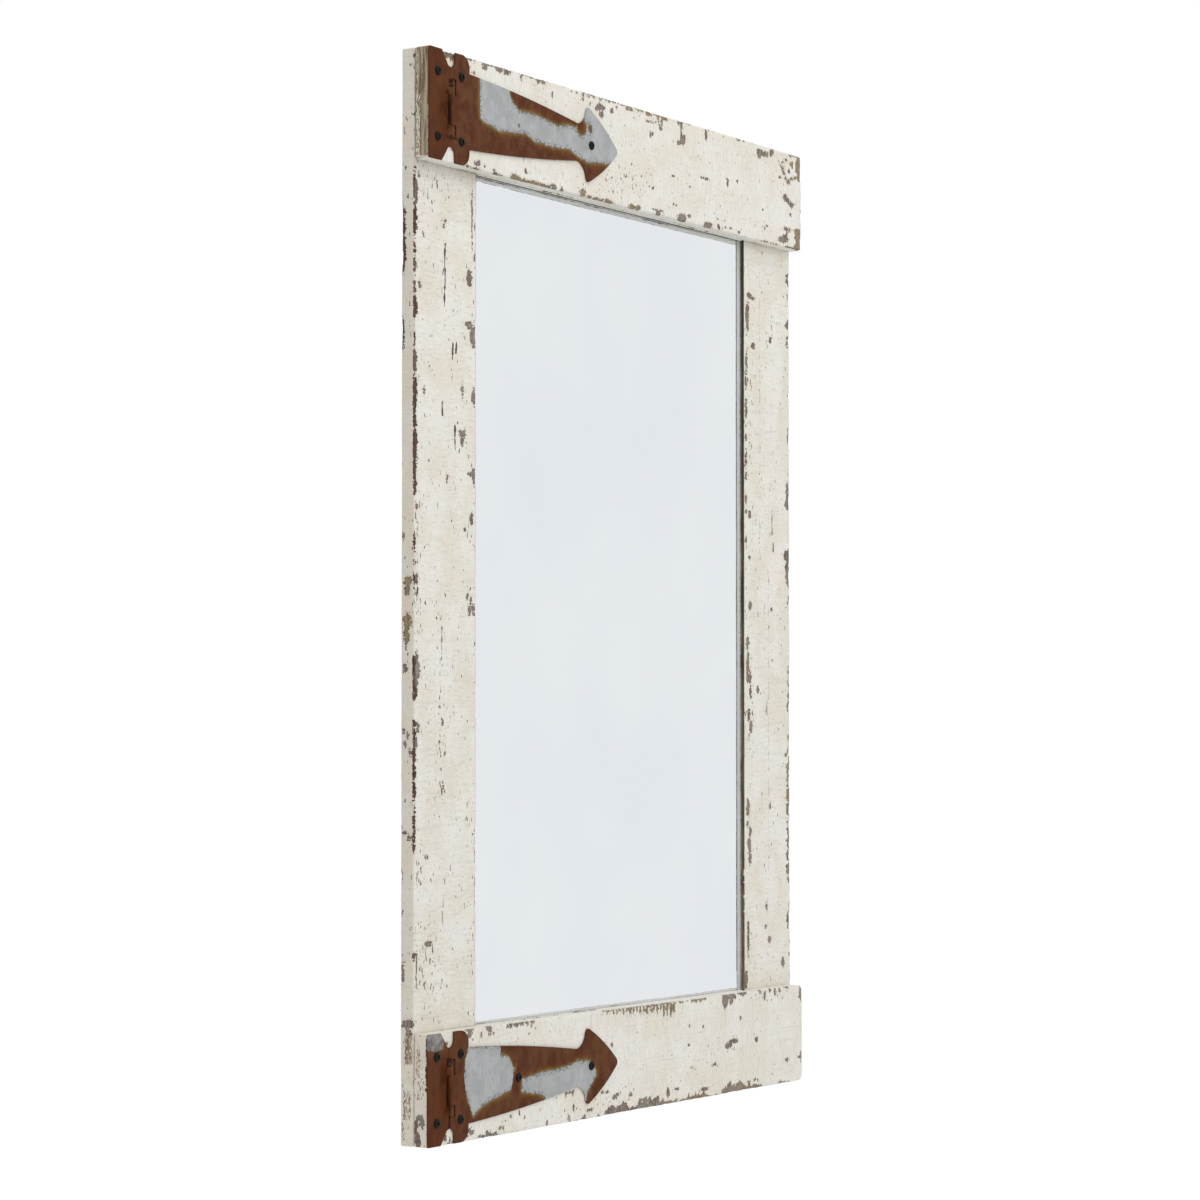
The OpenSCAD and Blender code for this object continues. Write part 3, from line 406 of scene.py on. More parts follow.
class Wire:
    """An output socket of a node tree. Arithmetic on wires adds their Math nodes."""

    def __init__(self, tree, socket):
        self.tree = tree
        self.socket = socket

    @classmethod
    def add(cls, tree, kind, sockets=None, settings=None, out=0):
        """Adds a node with these values or wires at its sockets. Returns its output out."""
        node = tree.nodes.new(kind)
        for name, value in (settings or {}).items():
            setattr(node, name, value)
        for name, value in (sockets or {}).items():
            if isinstance(value, Wire):
                tree.links.new(value.socket, node.inputs[name])
            else:
                node.inputs[name].default_value = value
        return cls(tree, node.outputs[out] if node.outputs else None)

    def also(self, out):
        """Another output of the same node."""
        return Wire(self.tree, self.socket.node.outputs[out])

    def math(self, operation, *others):
        sockets = dict(enumerate((self, *others)))
        return Wire.add(self.tree, "ShaderNodeMath", sockets, {"operation": operation})

    __add__ = __radd__ = partialmethod(math, "ADD")
    __mul__ = __rmul__ = partialmethod(math, "MULTIPLY")
    __sub__ = partialmethod(math, "SUBTRACT")
    __truediv__ = partialmethod(math, "DIVIDE")
    __abs__ = partialmethod(math, "ABSOLUTE")

    def __rsub__(self, other):
        return Wire.add(self.tree, "ShaderNodeMath", {0: other, 1: self}, {"operation": "SUBTRACT"})

    def least(self, *others):
        return reduce(lambda found, other: found.math("MINIMUM", other), others, self)

    def most(self, *others):
        return reduce(lambda found, other: found.math("MAXIMUM", other), others, self)

    def vector(self, operation, *others, scale=None, out="Vector"):
        sockets = dict(enumerate((self, *others)))
        if scale is not None:
            sockets["Scale"] = scale
        return Wire.add(self.tree, "ShaderNodeVectorMath", sockets, {"operation": operation}, out)

    def ramp(self, low, high, to_low=0.0, to_high=1.0, smooth=True):
        """to_low where this is low, to_high where it is high, eased between."""
        sockets = {"Value": self, "From Min": low, "From Max": high, "To Min": to_low, "To Max": to_high}
        settings = {"interpolation_type": "SMOOTHSTEP" if smooth else "LINEAR", "clamp": True}
        return Wire.add(self.tree, "ShaderNodeMapRange", sockets, settings)

    def noise(self, sizes_mm, detail=2.0, seed=0, out="Fac"):
        """Soft random values about 0.5 at these places, with features of these sizes in mm."""
        stretch = tuple(1 / (size * MM) for size in sizes_mm)
        moved = self.vector("MULTIPLY_ADD", stretch, (seed * 7.3, seed * 3.1, seed * 5.7))
        sockets = {"Vector": moved, "Scale": 1.0, "Detail": detail, "Roughness": 0.5}
        return Wire.add(self.tree, "ShaderNodeTexNoise", sockets, out=out)

    def parts(self):
        """The x, y and z of a vector."""
        whole = Wire.add(self.tree, "ShaderNodeSeparateXYZ", {0: self})
        return whole, whole.also(1), whole.also(2)


def mix(factor, first, second):
    """A colour between first and second."""
    tree = next(v.tree for v in (factor, first, second) if isinstance(v, Wire))
    settings = {"data_type": "RGBA", "blend_type": "MIX", "clamp_factor": True}
    return Wire.add(tree, "ShaderNodeMix", {0: factor, 6: first, 7: second}, settings, 2)


def between(value, low, high, first, second):
    """One screen colour where the value is low, and another where it is high."""
    return mix(value.ramp(low, high), shade(*first), shade(*second))


def layered(colour, *layers):
    """The colour, tinted in turn by a share of each layer's screen colour, where its value goes from low to high."""
    for value, low, high, share, tint in layers:
        colour = mix(value.ramp(low, high) * share, colour, shade(*tint))
    return colour


def start_finish(name):
    """A new material and the places on its piece, in metres."""
    material = bpy.data.materials.new(name)
    material.use_nodes = True
    material.node_tree.nodes.clear()
    return material, Wire.add(material.node_tree, "ShaderNodeTexCoord", out="Object")


def end_finish(material, colour, roughness, metallic=0.0, relief=(), specular=0.5):
    """Joins the colour, roughness and metal share, and each height of relief in metres, into the shader."""
    tree = material.node_tree
    sockets = {"Base Color": colour, "Roughness": roughness, "Metallic": metallic, "Specular IOR Level": specular}
    for height in relief:
        bump = {"Height": height, "Distance": 1.0}
        if "Normal" in sockets:
            bump["Normal"] = sockets["Normal"]
        sockets["Normal"] = Wire.add(tree, "ShaderNodeBump", bump)
    shader = Wire.add(tree, "ShaderNodeBsdfPrincipled", sockets)
    Wire.add(tree, "ShaderNodeOutputMaterial", {"Surface": shader})
    return material


def cracks_at(place, cracks):
    """1 on each crack of an upright board."""
    x, _, z = place.parts()
    wander = (place.noise((60, 60, 14), 3, 31) - 0.5) * (4 * MM)
    shut = (place.noise((40, 40, 8), 3, 32) - 0.5) * (5 * MM)
    found = []
    for px, top, bottom, strength in cracks:
        at_x, high = seen(px, top, LAYER_Y)
        low = seen(px, bottom, LAYER_Y)[1]
        aside = abs(x + wander - at_x)
        past_end = abs(z - (high + low) / 2) - (high - low) / 2
        half = (0.3 + 1.1 * strength) * MM
        found.append((aside.most(past_end * 0.6) + shut).ramp(half, half / 2) * (0.25 + 0.75 * strength))
    return found[0].most(*found[1:])


def painted_board(name, along, cracks=()):
    """Worn cream paint on a rough-sawn board, whose grain runs along x or z. The mesh's own attributes say where:
    bare in mm inside a bare patch, gold its golden share or, below 0, its brown one, flecks their density, raw
    unpainted new wood, weathered old wood whose paint is gone, rust the stain below a hinge, painted_shade the
    painted shade in the hinge's recess, on the lip round the glass and below the top rail, and seam the width of
    the line of painted shade along the glass."""
    material, place = start_finish(name)
    tree = material.node_tree
    bare, gold, flecks, raw, weathered, rust, painted_shade, seam = (
        Wire.add(tree, "ShaderNodeAttribute", settings={"attribute_name": field}, out="Fac") for field in Wear.FIELDS)
    upright = along == "z"

    def grained(upright_mm, level_mm, detail, seed):
        return place.noise(upright_mm if upright else level_mm, detail, seed)

    saw_marks = grained((9, 9, 1.7), (1.8, 12, 13), 3, 1)
    band = grained((80, 80, 7), (6, 60, 60), 2, 2)
    pores = grained((1.4, 1.4, 9), (9, 1.4, 1.4), 3, 3)
    streak = grained((3.4, 3.4, 34), (2.6, 30, 34), 3, 34)
    cloud = grained((34, 34, 44), (60, 34, 40), 3, 4)
    blush = grained((20, 20, 50), (26, 22, 30), 3, 5)
    specks = place.noise((1.1, 1.1, 1.7), 2, 6)
    grit = place.noise((2.4, 2.4, 2.8), 4, 39)
    # Painted shade: faces turned to the left get a darker, warmer tint for how the light falls on that side.
    left_side_shade = 0 - Wire.add(tree, "ShaderNodeNewGeometry", out="Normal").parts()[0]
    scratches = () if upright else ((place.noise((60, 3, 1.7), 3, 41), 0.58, 0.76, 0.35, (190, 182, 168)),)
    paint = layered(
        between(cloud, 0.36, 0.64, (228, 222, 208), (233, 231, 222)),
        (blush, 0.54, 0.76, 0.45, (224, 211, 200)),
        (saw_marks, 0.54, 0.78, 0.62 if upright else 0.60, (198, 192, 180)),
        (streak, 0.56, 0.78, 0.25 if upright else 0.50, (203, 197, 184)),
        (band, 0.54, 0.74, 0.28 if upright else 0.18, (208, 202, 190)),
        *scratches,
        (saw_marks, 0.44, 0.24, 0.7, (242, 241, 236)),
        (grit, 0.54, 0.74, 0.30, (190, 184, 172)),
        (grit, 0.44, 0.26, 0.50, (244, 243, 240)),
        (specks, 0.68, 0.76, 0.5, (168, 158, 143)),
        (left_side_shade, 0.5, 0.9, 0.35, (214, 201, 180)),
        (bare, -2.5, 0.0, 0.25, (198, 188, 170)))

    teeth = grained((7, 7, 1.8), (1.8, 9, 9), 3, 7)
    torn = (teeth - 0.5) * (4.5 if upright else 6.0)
    shape = bare.least(2.2) + (torn + (place.noise((2.0, 2.0, 2.6), 3, 35) - 0.5) * 5.0)
    chip = shape.ramp(-0.12, 0.14)
    speckle = grained((2.3, 2.3, 7.0), (2.3, 2.3, 4.6), 2, 8)
    fleck = (speckle + flecks * (0.11 if upright else 0.09)).ramp(0.702, 0.718)
    if cracks:
        fleck = fleck.most(cracks_at(place, cracks))

    grain = grained((2.0, 2.0, 26), (2.4, 2.4, 5), 4, 9)
    fibre = place.noise((1.2, 1.2, 8), 3, 36)
    cast = place.noise((18, 18, 24), 2, 40)
    brown = (0 - gold).ramp(0, 1, smooth=False)
    stain = layered(
        between(grain, 0.34, 0.66, (104, 90, 79), (140, 129, 119)),
        (cast, 0.42, 0.62, 0.5, (154, 146, 138)),
        (fibre, 0.54, 0.70, 0.7, (80, 67, 57)),
        (teeth, 0.42, 0.30, 0.5, (176, 167, 155)))
    wood = mix(gold, stain, between(grain, 0.35, 0.65, (164, 146, 114), (134, 114, 82)))
    wood = mix(brown, wood, between(fibre, 0.4, 0.6, (92, 68, 54), (68, 47, 37)))
    # Painted shadow: each chip's rim is darkened where the paint's edge stands over the wood.
    wood = layered(wood, (shape, 1.1, 0.15, 0.7, (86, 71, 59)))
    rings = (grained((24, 24, 300), (300, 24, 24), 2, 45) * 90).math("SINE")
    sawn = grained((1.1, 1.1, 40), (40, 1.1, 1.1), 3, 46)
    new_wood = layered(
        between(sawn, 0.34, 0.66, (186, 160, 122), (164, 135, 98)),
        (rings, 0.1, 0.95, 0.5, (146, 112, 74)),
        (cloud, 0.40, 0.66, 0.3, (150, 134, 108)))
    wave = place.noise((2.6, 1.7, 30), 3, 37)
    old_wood = layered(
        between(wave, 0.38, 0.62, (122, 108, 84), (178, 164, 142)),
        (wave, 0.43, 0.32, 0.85, (82, 67, 48)),
        (fibre, 0.52, 0.70, 0.5, (104, 90, 68)))
    hatch = place.noise((1.0, 1.0, 3.2), 3, 38)
    gone = (weathered + (hatch - 0.5) * 1.5).ramp(0.47, 0.56) * (1 - chip * brown)
    rusty = between(grain, 0.35, 0.65, (108, 68, 48), (128, 84, 60))
    from_glass = abs(GLASS_Y - place.parts()[1]) / GLASS_LINE

    # painted_shade and the dark line along the glass are painted shade, laid over the paint and the wood.
    colour = paint
    for share, over in ((chip, wood), (fleck, shade(92, 80, 70)), (raw, new_wood), (gone, old_wood), (rust, rusty),
                        (painted_shade, shade(40, 36, 29)), ((seam - from_glass).ramp(0, 0.5), shade(22, 20, 16))):
        colour = mix(share, colour, over)
    open_wood = chip.most(fleck, raw, gone)
    rough = 0.55 + open_wood.most(rust) * 0.27
    fine = saw_marks * (0.12 * MM) + band * (0.12 * MM) + pores * (0.05 * MM) + specks * (0.03 * MM)
    step = open_wood * (-0.26 * MM) + (grain + wave) * open_wood * (0.18 * MM)
    return end_finish(material, colour, rough, 0.0, [fine, step], 0.35)


def border(x, points, y):
    """The height at x of a border drawn through the photograph's points."""
    height = None
    for (x0, z0), (x1, z1) in itertools.pairwise(seen(px, py, y) for px, py in points):
        rise = x.ramp(x0, x1, 0.0, z1 - z0, smooth=False)
        height = rise + z0 if height is None else height + rise
    return height


def patch(place, sides, upper, lower):
    """Metres inside a patch on a hinge's front, from its borders in the photograph."""
    x, _, z = place.parts()
    left, right = (x_seen(px, PLATE_Y) for px in sides)
    return (x - left).least(right - x, border(x, upper, PLATE_Y) - z, z - border(x, lower, PLATE_Y))


def oval(place, left, top, right, bottom, square=False):
    """Metres inside an oval that fills a box of the photograph's pixels on a hinge's front, or a squarer shape."""
    x0, x1 = x_seen(left, PLATE_Y), x_seen(right, PLATE_Y)
    middle = (x0 + x1) / 2
    z0, z1 = z_seen(bottom, middle, PLATE_Y), z_seen(top, middle, PLATE_Y)
    x, _, z = place.parts()
    half_x, half_z = (x1 - x0) / 2, (z1 - z0) / 2
    off_x, off_z = (x - middle) / half_x, (z - (z0 + z1) / 2) / half_z
    if square:
        off = abs(off_x).most(abs(off_z))
    else:
        off = (off_x * off_x + off_z * off_z).math("SQRT")
    return (1 - off) * min(half_x, half_z)


def rusty_plate(name, patches, rust_spots, recess_shade, glow):
    """Rust brown hinge plate that still shows patches of its galvanised skin. Of several, the last is dull.
    Painted shade darkens the joints between its knuckles, in the boxes recess_shade, and their flank, in the box
    glow.
    """
    material, place = start_finish(name)
    drift = place.noise((6, 6, 6), 4, 11, out="Color").vector("SUBTRACT", (0.5, 0.5, 0.5))
    warped = place.vector("ADD", drift.vector("SCALE", scale=3.5 * MM))
    insides = [patch(warped, *borders) for borders in patches]
    inside = insides[0].most(*insides[1:]).least(*(0 - oval(warped, *box) for box in rust_spots))
    edge = inside + (place.noise((1.3, 1.3, 1.3), 4, 12) - 0.5) * (3.2 * MM)

    mottle = place.noise((8, 8, 11), 4, 13)
    bloom = place.noise((26, 26, 30), 3, 14)
    grit = place.noise((0.9, 0.9, 0.9), 3, 15)
    warm = (x_seen(JOINT_PX, PLATE_Y) + WARM_SHIFT - place.parts()[0]).ramp(-WARM_EDGE, WARM_EDGE)
    rust = layered(
        between(mottle, 0.36, 0.66, (86, 50, 34), (101, 64, 46)),
        (bloom, 0.50, 0.68, 0.7, (105, 70, 44)),
        (mottle, 0.3, 0.6, warm * 0.6, (92, 50, 26)),
        (grit, 0.58, 0.78, 0.4, (112, 72, 48)),
        (grit, 0.42, 0.26, 0.4, (66, 36, 24)))
    # Painted shade: glow is the box where the rust on the knuckles' flank beside the joint is darker and more orange.
    flank_shade = oval(warped, *glow).ramp(-2.5 * MM, 3.0 * MM)
    rust = mix(flank_shade * 0.9, rust, between(mottle, 0.4, 0.6, (68, 31, 12), (86, 46, 20)))
    # Painted shade: the joints between the knuckles go near black.
    rust = layered(rust, *((oval(warped, *box, square=True), -1.6 * MM, 1.6 * MM, 0.86, (30, 12, 5)) for box in recess_shade))
    halo = edge.ramp(-8.0 * MM, -1.0 * MM) * 0.75
    fringe = edge.ramp(-3.6 * MM, -0.6 * MM)

    brush = place.noise((1.6, 1.6, 7), 3, 16)
    cloud = place.noise((12, 12, 12), 3, 17)
    tarnish = place.noise((2.4, 2.4, 2.4), 3, 18)
    pits = place.noise((2.2, 2.2, 2.6), 2, 19)
    zinc = layered(
        between(cloud, 0.36, 0.66, (165, 166, 167), (177, 178, 179)),
        (brush, 0.54, 0.78, 0.5, (190, 191, 192)),
        (brush, 0.46, 0.26, 0.5, (148, 149, 149)),
        (tarnish, 0.47, 0.60, edge.ramp(5.0 * MM, 0.2 * MM) * 0.85, (94, 94, 82)),
        (pits, 0.715, 0.75, 0.8, (82, 82, 74)))
    if len(patches) > 1:
        dull = insides[-1]
        smoke = place.noise((3.4, 3.4, 4.4), 4, 20)
        halo = halo * (1 - dull.ramp(-6.0 * MM, -1.0 * MM))
        smoky = between(smoke, 0.36, 0.64, (104, 98, 94), (146, 144, 141))
        zinc = mix(dull.ramp(-1.0 * MM, 1.0 * MM) * 0.9, zinc, smoky)
    rust = mix(halo, rust, between(mottle, 0.35, 0.65, (104, 66, 32), (124, 84, 44)))
    rust = mix(fringe * (halo + 0.2), rust, shade(120, 106, 74))

    bare = edge.ramp(-0.8 * MM, 0.7 * MM)
    rough = 0.84 - bare * 0.32 + (grit - 0.5) * 0.1
    crust = (1 - bare) * (grit * (0.08 * MM) + mottle * (0.16 * MM)) + bare * brush * (0.03 * MM)
    return end_finish(material, mix(bare, rust, zinc), rough, bare * 0.3, [crust], 0.05)


def mottled(name, grain, low, high, tones, roughness, relief_mm, uneven=0, share=1, specular=0.5):
    """A finish between two screen colours. An uneven one is rougher where it goes towards the second."""
    material, place = start_finish(name)
    noise = place.noise(*grain)
    colour = mix(noise.ramp(low, high) * share, *(shade(*tone) for tone in tones))
    rough = roughness + noise * uneven if uneven else roughness
    return end_finish(material, colour, rough, 0.0, [noise * (relief_mm * MM)], specular)


def plated_metal(name, deep, pale, brush_mm, roughness):
    """Plated steel with a soft drawn grain."""
    material, place = start_finish(name)
    brush = place.noise(brush_mm, 3, 23)
    stain = place.noise((6, 6, 6), 3, 24)
    colour = layered(between(brush, 0.35, 0.65, deep, pale), (stain, 0.58, 0.76, 0.5, deep))
    return end_finish(material, colour, roughness + stain * 0.2, 0.9, [brush * (0.02 * MM)])


def silvered_glass():
    """Plain mirror with a breath of haze, and duller along its upright borders."""
    material, place = start_finish("mirror")
    haze = place.noise((120, 120, 160), 2, 25)
    colour = between(haze, 0.3, 0.7, (226, 230, 234), (229, 233, 236))
    dull = (OPENING_HALF - abs(place.parts()[0])).ramp(8 * MM, 3 * MM)
    return end_finish(material, colour, haze * 0.012 + dull * 0.5, 1 - dull * 0.6)


def hardboard():
    """Smooth brown hardboard, with short pressed fibres and a few scuffs."""
    material, place = start_finish("hardboard")
    fibres = place.noise((1.2, 1.2, 5), 4, 27)
    cross_fibres = place.noise((5, 1.2, 1.2), 4, 28)
    colour = layered(
        between(place.noise((90, 90, 90), 4, 29), 0.30, 0.70, (136, 99, 67), (148, 109, 74)),
        (fibres, 0.56, 0.78, 0.5, (104, 70, 44)),
        (cross_fibres, 0.56, 0.78, 0.5, (172, 134, 96)),
        (place.noise((120, 40, 3), 3, 30), 0.66, 0.72, 0.35, (184, 154, 120)))
    return end_finish(material, colour, 0.5 + fibres * 0.25, 0.0, [(fibres + cross_fibres) * (0.04 * MM)])


def plank_tree():
    """A plank between two corners: a box of small faces with eased edges, a little uneven, with saw marks."""
    tree = bpy.data.node_groups.new("plank", "GeometryNodeTree")
    for name, kind in (("Low corner", "Vector"), ("High corner", "Vector"), ("Easing", "Float"),
                       ("Face size", "Float"), ("Saw marks", "Vector"), ("Saw depth", "Float"),
                       ("Unevenness", "Float"), ("Seed", "Float"), ("Finish", "Material")):
        tree.interface.new_socket(name, in_out="INPUT", socket_type="NodeSocket" + kind)
    tree.interface.new_socket("Plank", in_out="OUTPUT", socket_type="NodeSocketGeometry")
    given = Wire.add(tree, "NodeGroupInput")
    low, high = given.also("Low corner"), given.also("High corner")
    easing, seed = given.also("Easing"), given.also("Seed")
    size = high.vector("SUBTRACT", low)
    counts = [length / given.also("Face size") + 1 for length in size.parts()]
    cube = Wire.add(tree, "GeometryNodeMeshCube", {
        "Size": size, "Vertices X": counts[0], "Vertices Y": counts[1], "Vertices Z": counts[2]})
    centre = low.vector("ADD", high).vector("SCALE", scale=0.5)
    at = Wire.add(tree, "GeometryNodeInputPosition").vector("ADD", centre)
    inner = at.vector("MAXIMUM", low.vector("ADD", easing)).vector("MINIMUM", high.vector("SUBTRACT", easing))
    outwards = at.vector("SUBTRACT", inner).vector("NORMALIZE")
    rounded = inner.vector("ADD", outwards.vector("SCALE", scale=easing))
    shifted = rounded.vector("ADD", seed)
    marks = Wire.add(tree, "ShaderNodeTexNoise", {
        "Vector": shifted.vector("MULTIPLY", given.also("Saw marks")), "Scale": 1.0, "Detail": 2.0})
    bow = Wire.add(tree, "ShaderNodeTexNoise", {"Vector": shifted, "Scale": BOWS_PER_METRE, "Detail": 2.0})
    depth = marks.ramp(0.2, 0.8) * given.also("Saw depth") + bow.ramp(0.2, 0.8) * given.also("Unevenness")
    place = rounded.vector("SUBTRACT", outwards.vector("SCALE", scale=depth + PAINT_GAP))
    shaped = Wire.add(tree, "GeometryNodeSetPosition", {"Geometry": cube, "Position": place})
    whole = Wire.add(tree, "GeometryNodeRealizeInstances", {"Geometry": shaped})
    done = Wire.add(tree, "GeometryNodeSetMaterial", {"Geometry": whole, "Material": given.also("Finish")})
    Wire.add(tree, "NodeGroupOutput", {"Plank": done})
    return tree


def evaluated_mesh(piece):
    """A plain mesh of the piece with its modifiers applied; the piece itself is removed."""
    bpy.context.view_layer.update()
    graph = bpy.context.evaluated_depsgraph_get()
    mesh = bpy.data.meshes.new_from_object(piece.evaluated_get(graph), preserve_all_data_layers=True, depsgraph=graph)
    bpy.data.objects.remove(piece)
    return mesh


def new_piece(name, data):
    piece = bpy.data.objects.new(name, data)
    bpy.context.scene.collection.objects.link(piece)
    return piece


def cut_plank(tree, node, along, face_mm, finish, seed):
    """The plank in a CAD board's box as a mesh, before any wear."""
    low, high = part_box(node)
    plank = new_piece("plank", bpy.data.meshes.new("plank"))
    modifier = plank.modifiers.new("plank", "NODES")
    modifier.node_group = tree
    marks = [1 / (SAW_PITCH if axis == along else SAW_LENGTH) for axis in "xyz"]
    values = {"Low corner": low, "High corner": high, "Easing": EASING, "Face size": face_mm * MM,
              "Saw marks": marks, "Saw depth": SAW_DEPTH, "Unevenness": UNEVENNESS, "Seed": float(seed),
              "Finish": finish}
    for item in tree.interface.items_tree:
        if item.name in values:
            modifier[item.identifier] = values[item.name]
    return evaluated_mesh(plank)


def soft_random(points, sizes_mm, seed):
    """Smooth random values from -1 to 1, with features of these sizes in mm."""
    lattice = np.random.default_rng(seed).uniform(-1, 1, (32, 32, 32))
    cells = points / (np.array(sizes_mm) * MM)
    base = np.floor(cells).astype(int)
    part = cells - base
    part = part * part * (3 - 2 * part)
    total = np.zeros(len(points))
    for corner in itertools.product((0, 1), repeat=3):
        weight = np.prod(np.where(corner, part, 1 - part), axis=1)
        index = (base + corner) % 32
        total += weight * lattice[index[:, 0], index[:, 1], index[:, 2]]
    return total


def places_of(mesh):
    flat = np.empty(len(mesh.vertices) * 3)
    mesh.vertices.foreach_get("co", flat)
    return flat.reshape(-1, 3)


class Wear:
    """Where a painted board is bare, from what the photograph shows and from chance elsewhere."""

    FIELDS = ("bare", "gold", "flecks", "raw", "weathered", "rust", "painted_shade", "seam")

    def __init__(self, node, along, marks, seed):
        self.low, self.high = (np.array(corner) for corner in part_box(node))
        self.left, self.front = self.low[:2]
        self.along, self.marks, self.seed = along, marks, seed

    def chance(self, points, sizes_mm, number):
        """This board's own smooth random values from -1 to 1."""
        return soft_random(points, sizes_mm, self.seed + number)

    def face(self, side, axis):
        """Where the board's low or high face lies along an axis."""
        return (self.low if side == "low" else self.high)[axis]

    def from_faces(self, points):
        """Distance of each point to the nearer face along x, y and z."""
        return np.minimum(points - self.low, self.high - points)

    def box_at(self, box, on_left=False):
        """Centre and half sizes, in metres, of a box of pixels on the front or the left face."""
        left, top, right, bottom = box
        if on_left:
            a0, a1 = sorted((y_seen(left, self.left), y_seen(right, self.left)))
            where = (self.left, (a0 + a1) / 2)
        else:
            a0, a1 = x_seen(left, self.front), x_seen(right, self.front)
            where = ((a0 + a1) / 2, self.front)
        z0, z1 = z_seen(bottom, *where), z_seen(top, *where)
        return (a0 + a1) / 2, (z0 + z1) / 2, (a1 - a0) / 2, (z1 - z0) / 2

    def off_centre(self, points, box, on_left=False, least=0.0):
        """How far each point is from the middle of a box, where 1 is on its oval, and its smaller half size."""
        ca, cz, half_a, half_z = self.box_at(box, on_left)
        half_a, half_z = max(half_a, least), max(half_z, least)
        along = points[:, 1 if on_left else 0]
        return np.hypot((along - ca) / half_a, (points[:, 2] - cz) / half_z), min(half_a, half_z)

    def spot_fields(self, points, spots, on_left=False):
        """mm inside each bare spot, and its golden share."""
        warp = self.chance(points, (4, 4, 4), 1)
        for spot in spots:
            *box, gold = (*spot, 0)[:5]
            off, small = self.off_centre(points, box, on_left, LEAST_SPOT)
            yield (1.0 - off + warp * 0.3) * max(small / MM, 2.0), gold

    def strip_fields(self, points):
        """mm inside each stretch worn along an edge, and its golden share."""
        x, y, z = points.T
        around_corner = np.clip(2.5 * (y - self.front - 0.9 * MM), 0, None)
        warp = self.chance(points, (5, 5, 5), 2) + 0.7 * self.chance(points, (2.5, 2.5, 2.5), 3)
        if self.along == "x":
            warp = warp + 0.5 * self.chance(points, (2.6, 50, 50), 10)
        for edge, strips in self.marks.get("strips", {}).items():
            if edge == "right" or self.along == "z":
                side = self.face(edge, 0)
                run, away, place = z, np.abs(x - side), partial(z_seen, x=side, y=self.front)
            else:
                run, away, place = x, np.abs(z - self.face(edge, 2)), partial(x_seen, y=self.front)
            for strip in strips:
                start, end, reach, gold = (*strip, 0)[:4]
                first, last = sorted((place(start), place(end)))
                part = (run - (first + last) / 2) / ((last - first) / 2)
                ragged = 0.95 + 0.35 * warp if gold < 0 else 0.8 + 0.7 * warp
                inside = reach * np.sqrt(np.clip(1 - part**6, 0, 1)) * ragged
                yield np.where(np.abs(part) < 1, inside - (away + around_corner) / MM, -4), gold

    def bare_and_gold(self, points, edge, on_front, on_left):
        """mm inside a bare patch and its golden share: by chance, and by the marks on the faces that have any."""
        long_mm = (16, 16, 34) if self.along == "z" else (34, 16, 16)
        patchy = self.chance(points, long_mm, 4) + 0.5 * self.chance(points, (6, 6, 6), 5)
        bare = (patchy - 0.25) * 4.0 - edge * 0.9
        gold = np.clip(self.chance(points, (40, 40, 40), 6) * 2 - 0.3, 0, 1)
        if "spots" in self.marks:
            bare = np.where(on_front | on_left, np.minimum(bare - 2.2, -0.4), bare)
        front_spots = self.spot_fields(points, self.marks.get("spots", ()))
        left_spots = self.spot_fields(points, self.marks.get("side_spots", ()), on_left=True)
        for face, marks in ((on_front, front_spots), (on_front, self.strip_fields(points)), (on_left, left_spots)):
            for field, golden in marks:
                gold = np.where(face & (field > -1.0) & (field > bare), golden, gold)
                bare = np.where(face & (field > bare), field, bare)
        return np.clip(bare, -5, 5), gold

    def weathered_rust_and_shade(self, points, on_left):
        """Shares of old wood, hinge rust and painted shade, and how wide the line of painted shade along the glass
        is.
        """
        x, y, z = points.T
        deep = (y - self.front) / MM
        weathered, rust, painted_shade, seam = np.zeros((4, len(x)))
        for *box, amount in self.marks.get("weathered", ()):
            cy, cz, half_y, half_z = self.box_at(box, on_left=True)
            inside = np.minimum(half_y - np.abs(y - cy), half_z - np.abs(z - cz)) / MM
            weathered = np.maximum(weathered, amount * np.clip(inside / 1.6 + 0.6, 0, 1) * on_left)
        # Painted shade: the lip round the glass is darkened, most just behind its front and more towards the top.
        if "reveal" in self.marks:
            lip = (np.abs(x - self.face(self.marks["reveal"], 0)) < LIP) & (deep > LIP_DEPTHS_MM[0])
            weathered = np.where(lip, deep <= OLD_LIP_MM, weathered)
            height = (z - OPENING[0]) / (OPENING[1] - OPENING[0])
            shade_and_wear = np.interp(deep, LIP_DEPTHS_MM, LIP_SHADE) * (0.85 + 0.4 * height)
            painted_shade = np.where(lip, np.clip(shade_and_wear, 0, 1), painted_shade)
        # Painted shade: a dark line along the glass, on the cross rail's edge that meets it.
        if "seam" in self.marks:
            patchy_line = self.marks["shade_and_wear"] + 0.3 * self.chance(points, (40, 6, 6), 9)
            near = np.abs(z - self.face(self.marks["seam"], 2)) < SEAM_REACH
            seam = np.where(near, np.clip(patchy_line, 0, 2.2), 0)
        # Painted shadow of the top rail on the uprights just below it.
        if "shaded" in self.marks:
            below = (OPENING[1] - z) / SHADE_REACH
            painted_shade = np.maximum(painted_shade, self.marks["shaded"] * np.clip(1.1 - below, 0, 1) * (y < self.front + 1 * MM))
        if "hinge" in self.marks:
            half_width, half_height, depth, recess_shade = RUST_STAIN
            pin = sum(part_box(self.marks["hinge"]), Vector()) / 2
            up = z - (self.low[2] + self.high[2]) / 2
            inside = np.minimum(half_width - np.abs(x - pin.x), half_height - np.abs(up)) / MM
            rust = np.clip(inside + 0.5, 0, 1) * (y < self.front + depth)
            # Painted shade in the recess above the hinge's knuckle.
            painted_shade = np.maximum(painted_shade, 0.35 * rust * (up > recess_shade))
        return weathered, rust, painted_shade, seam

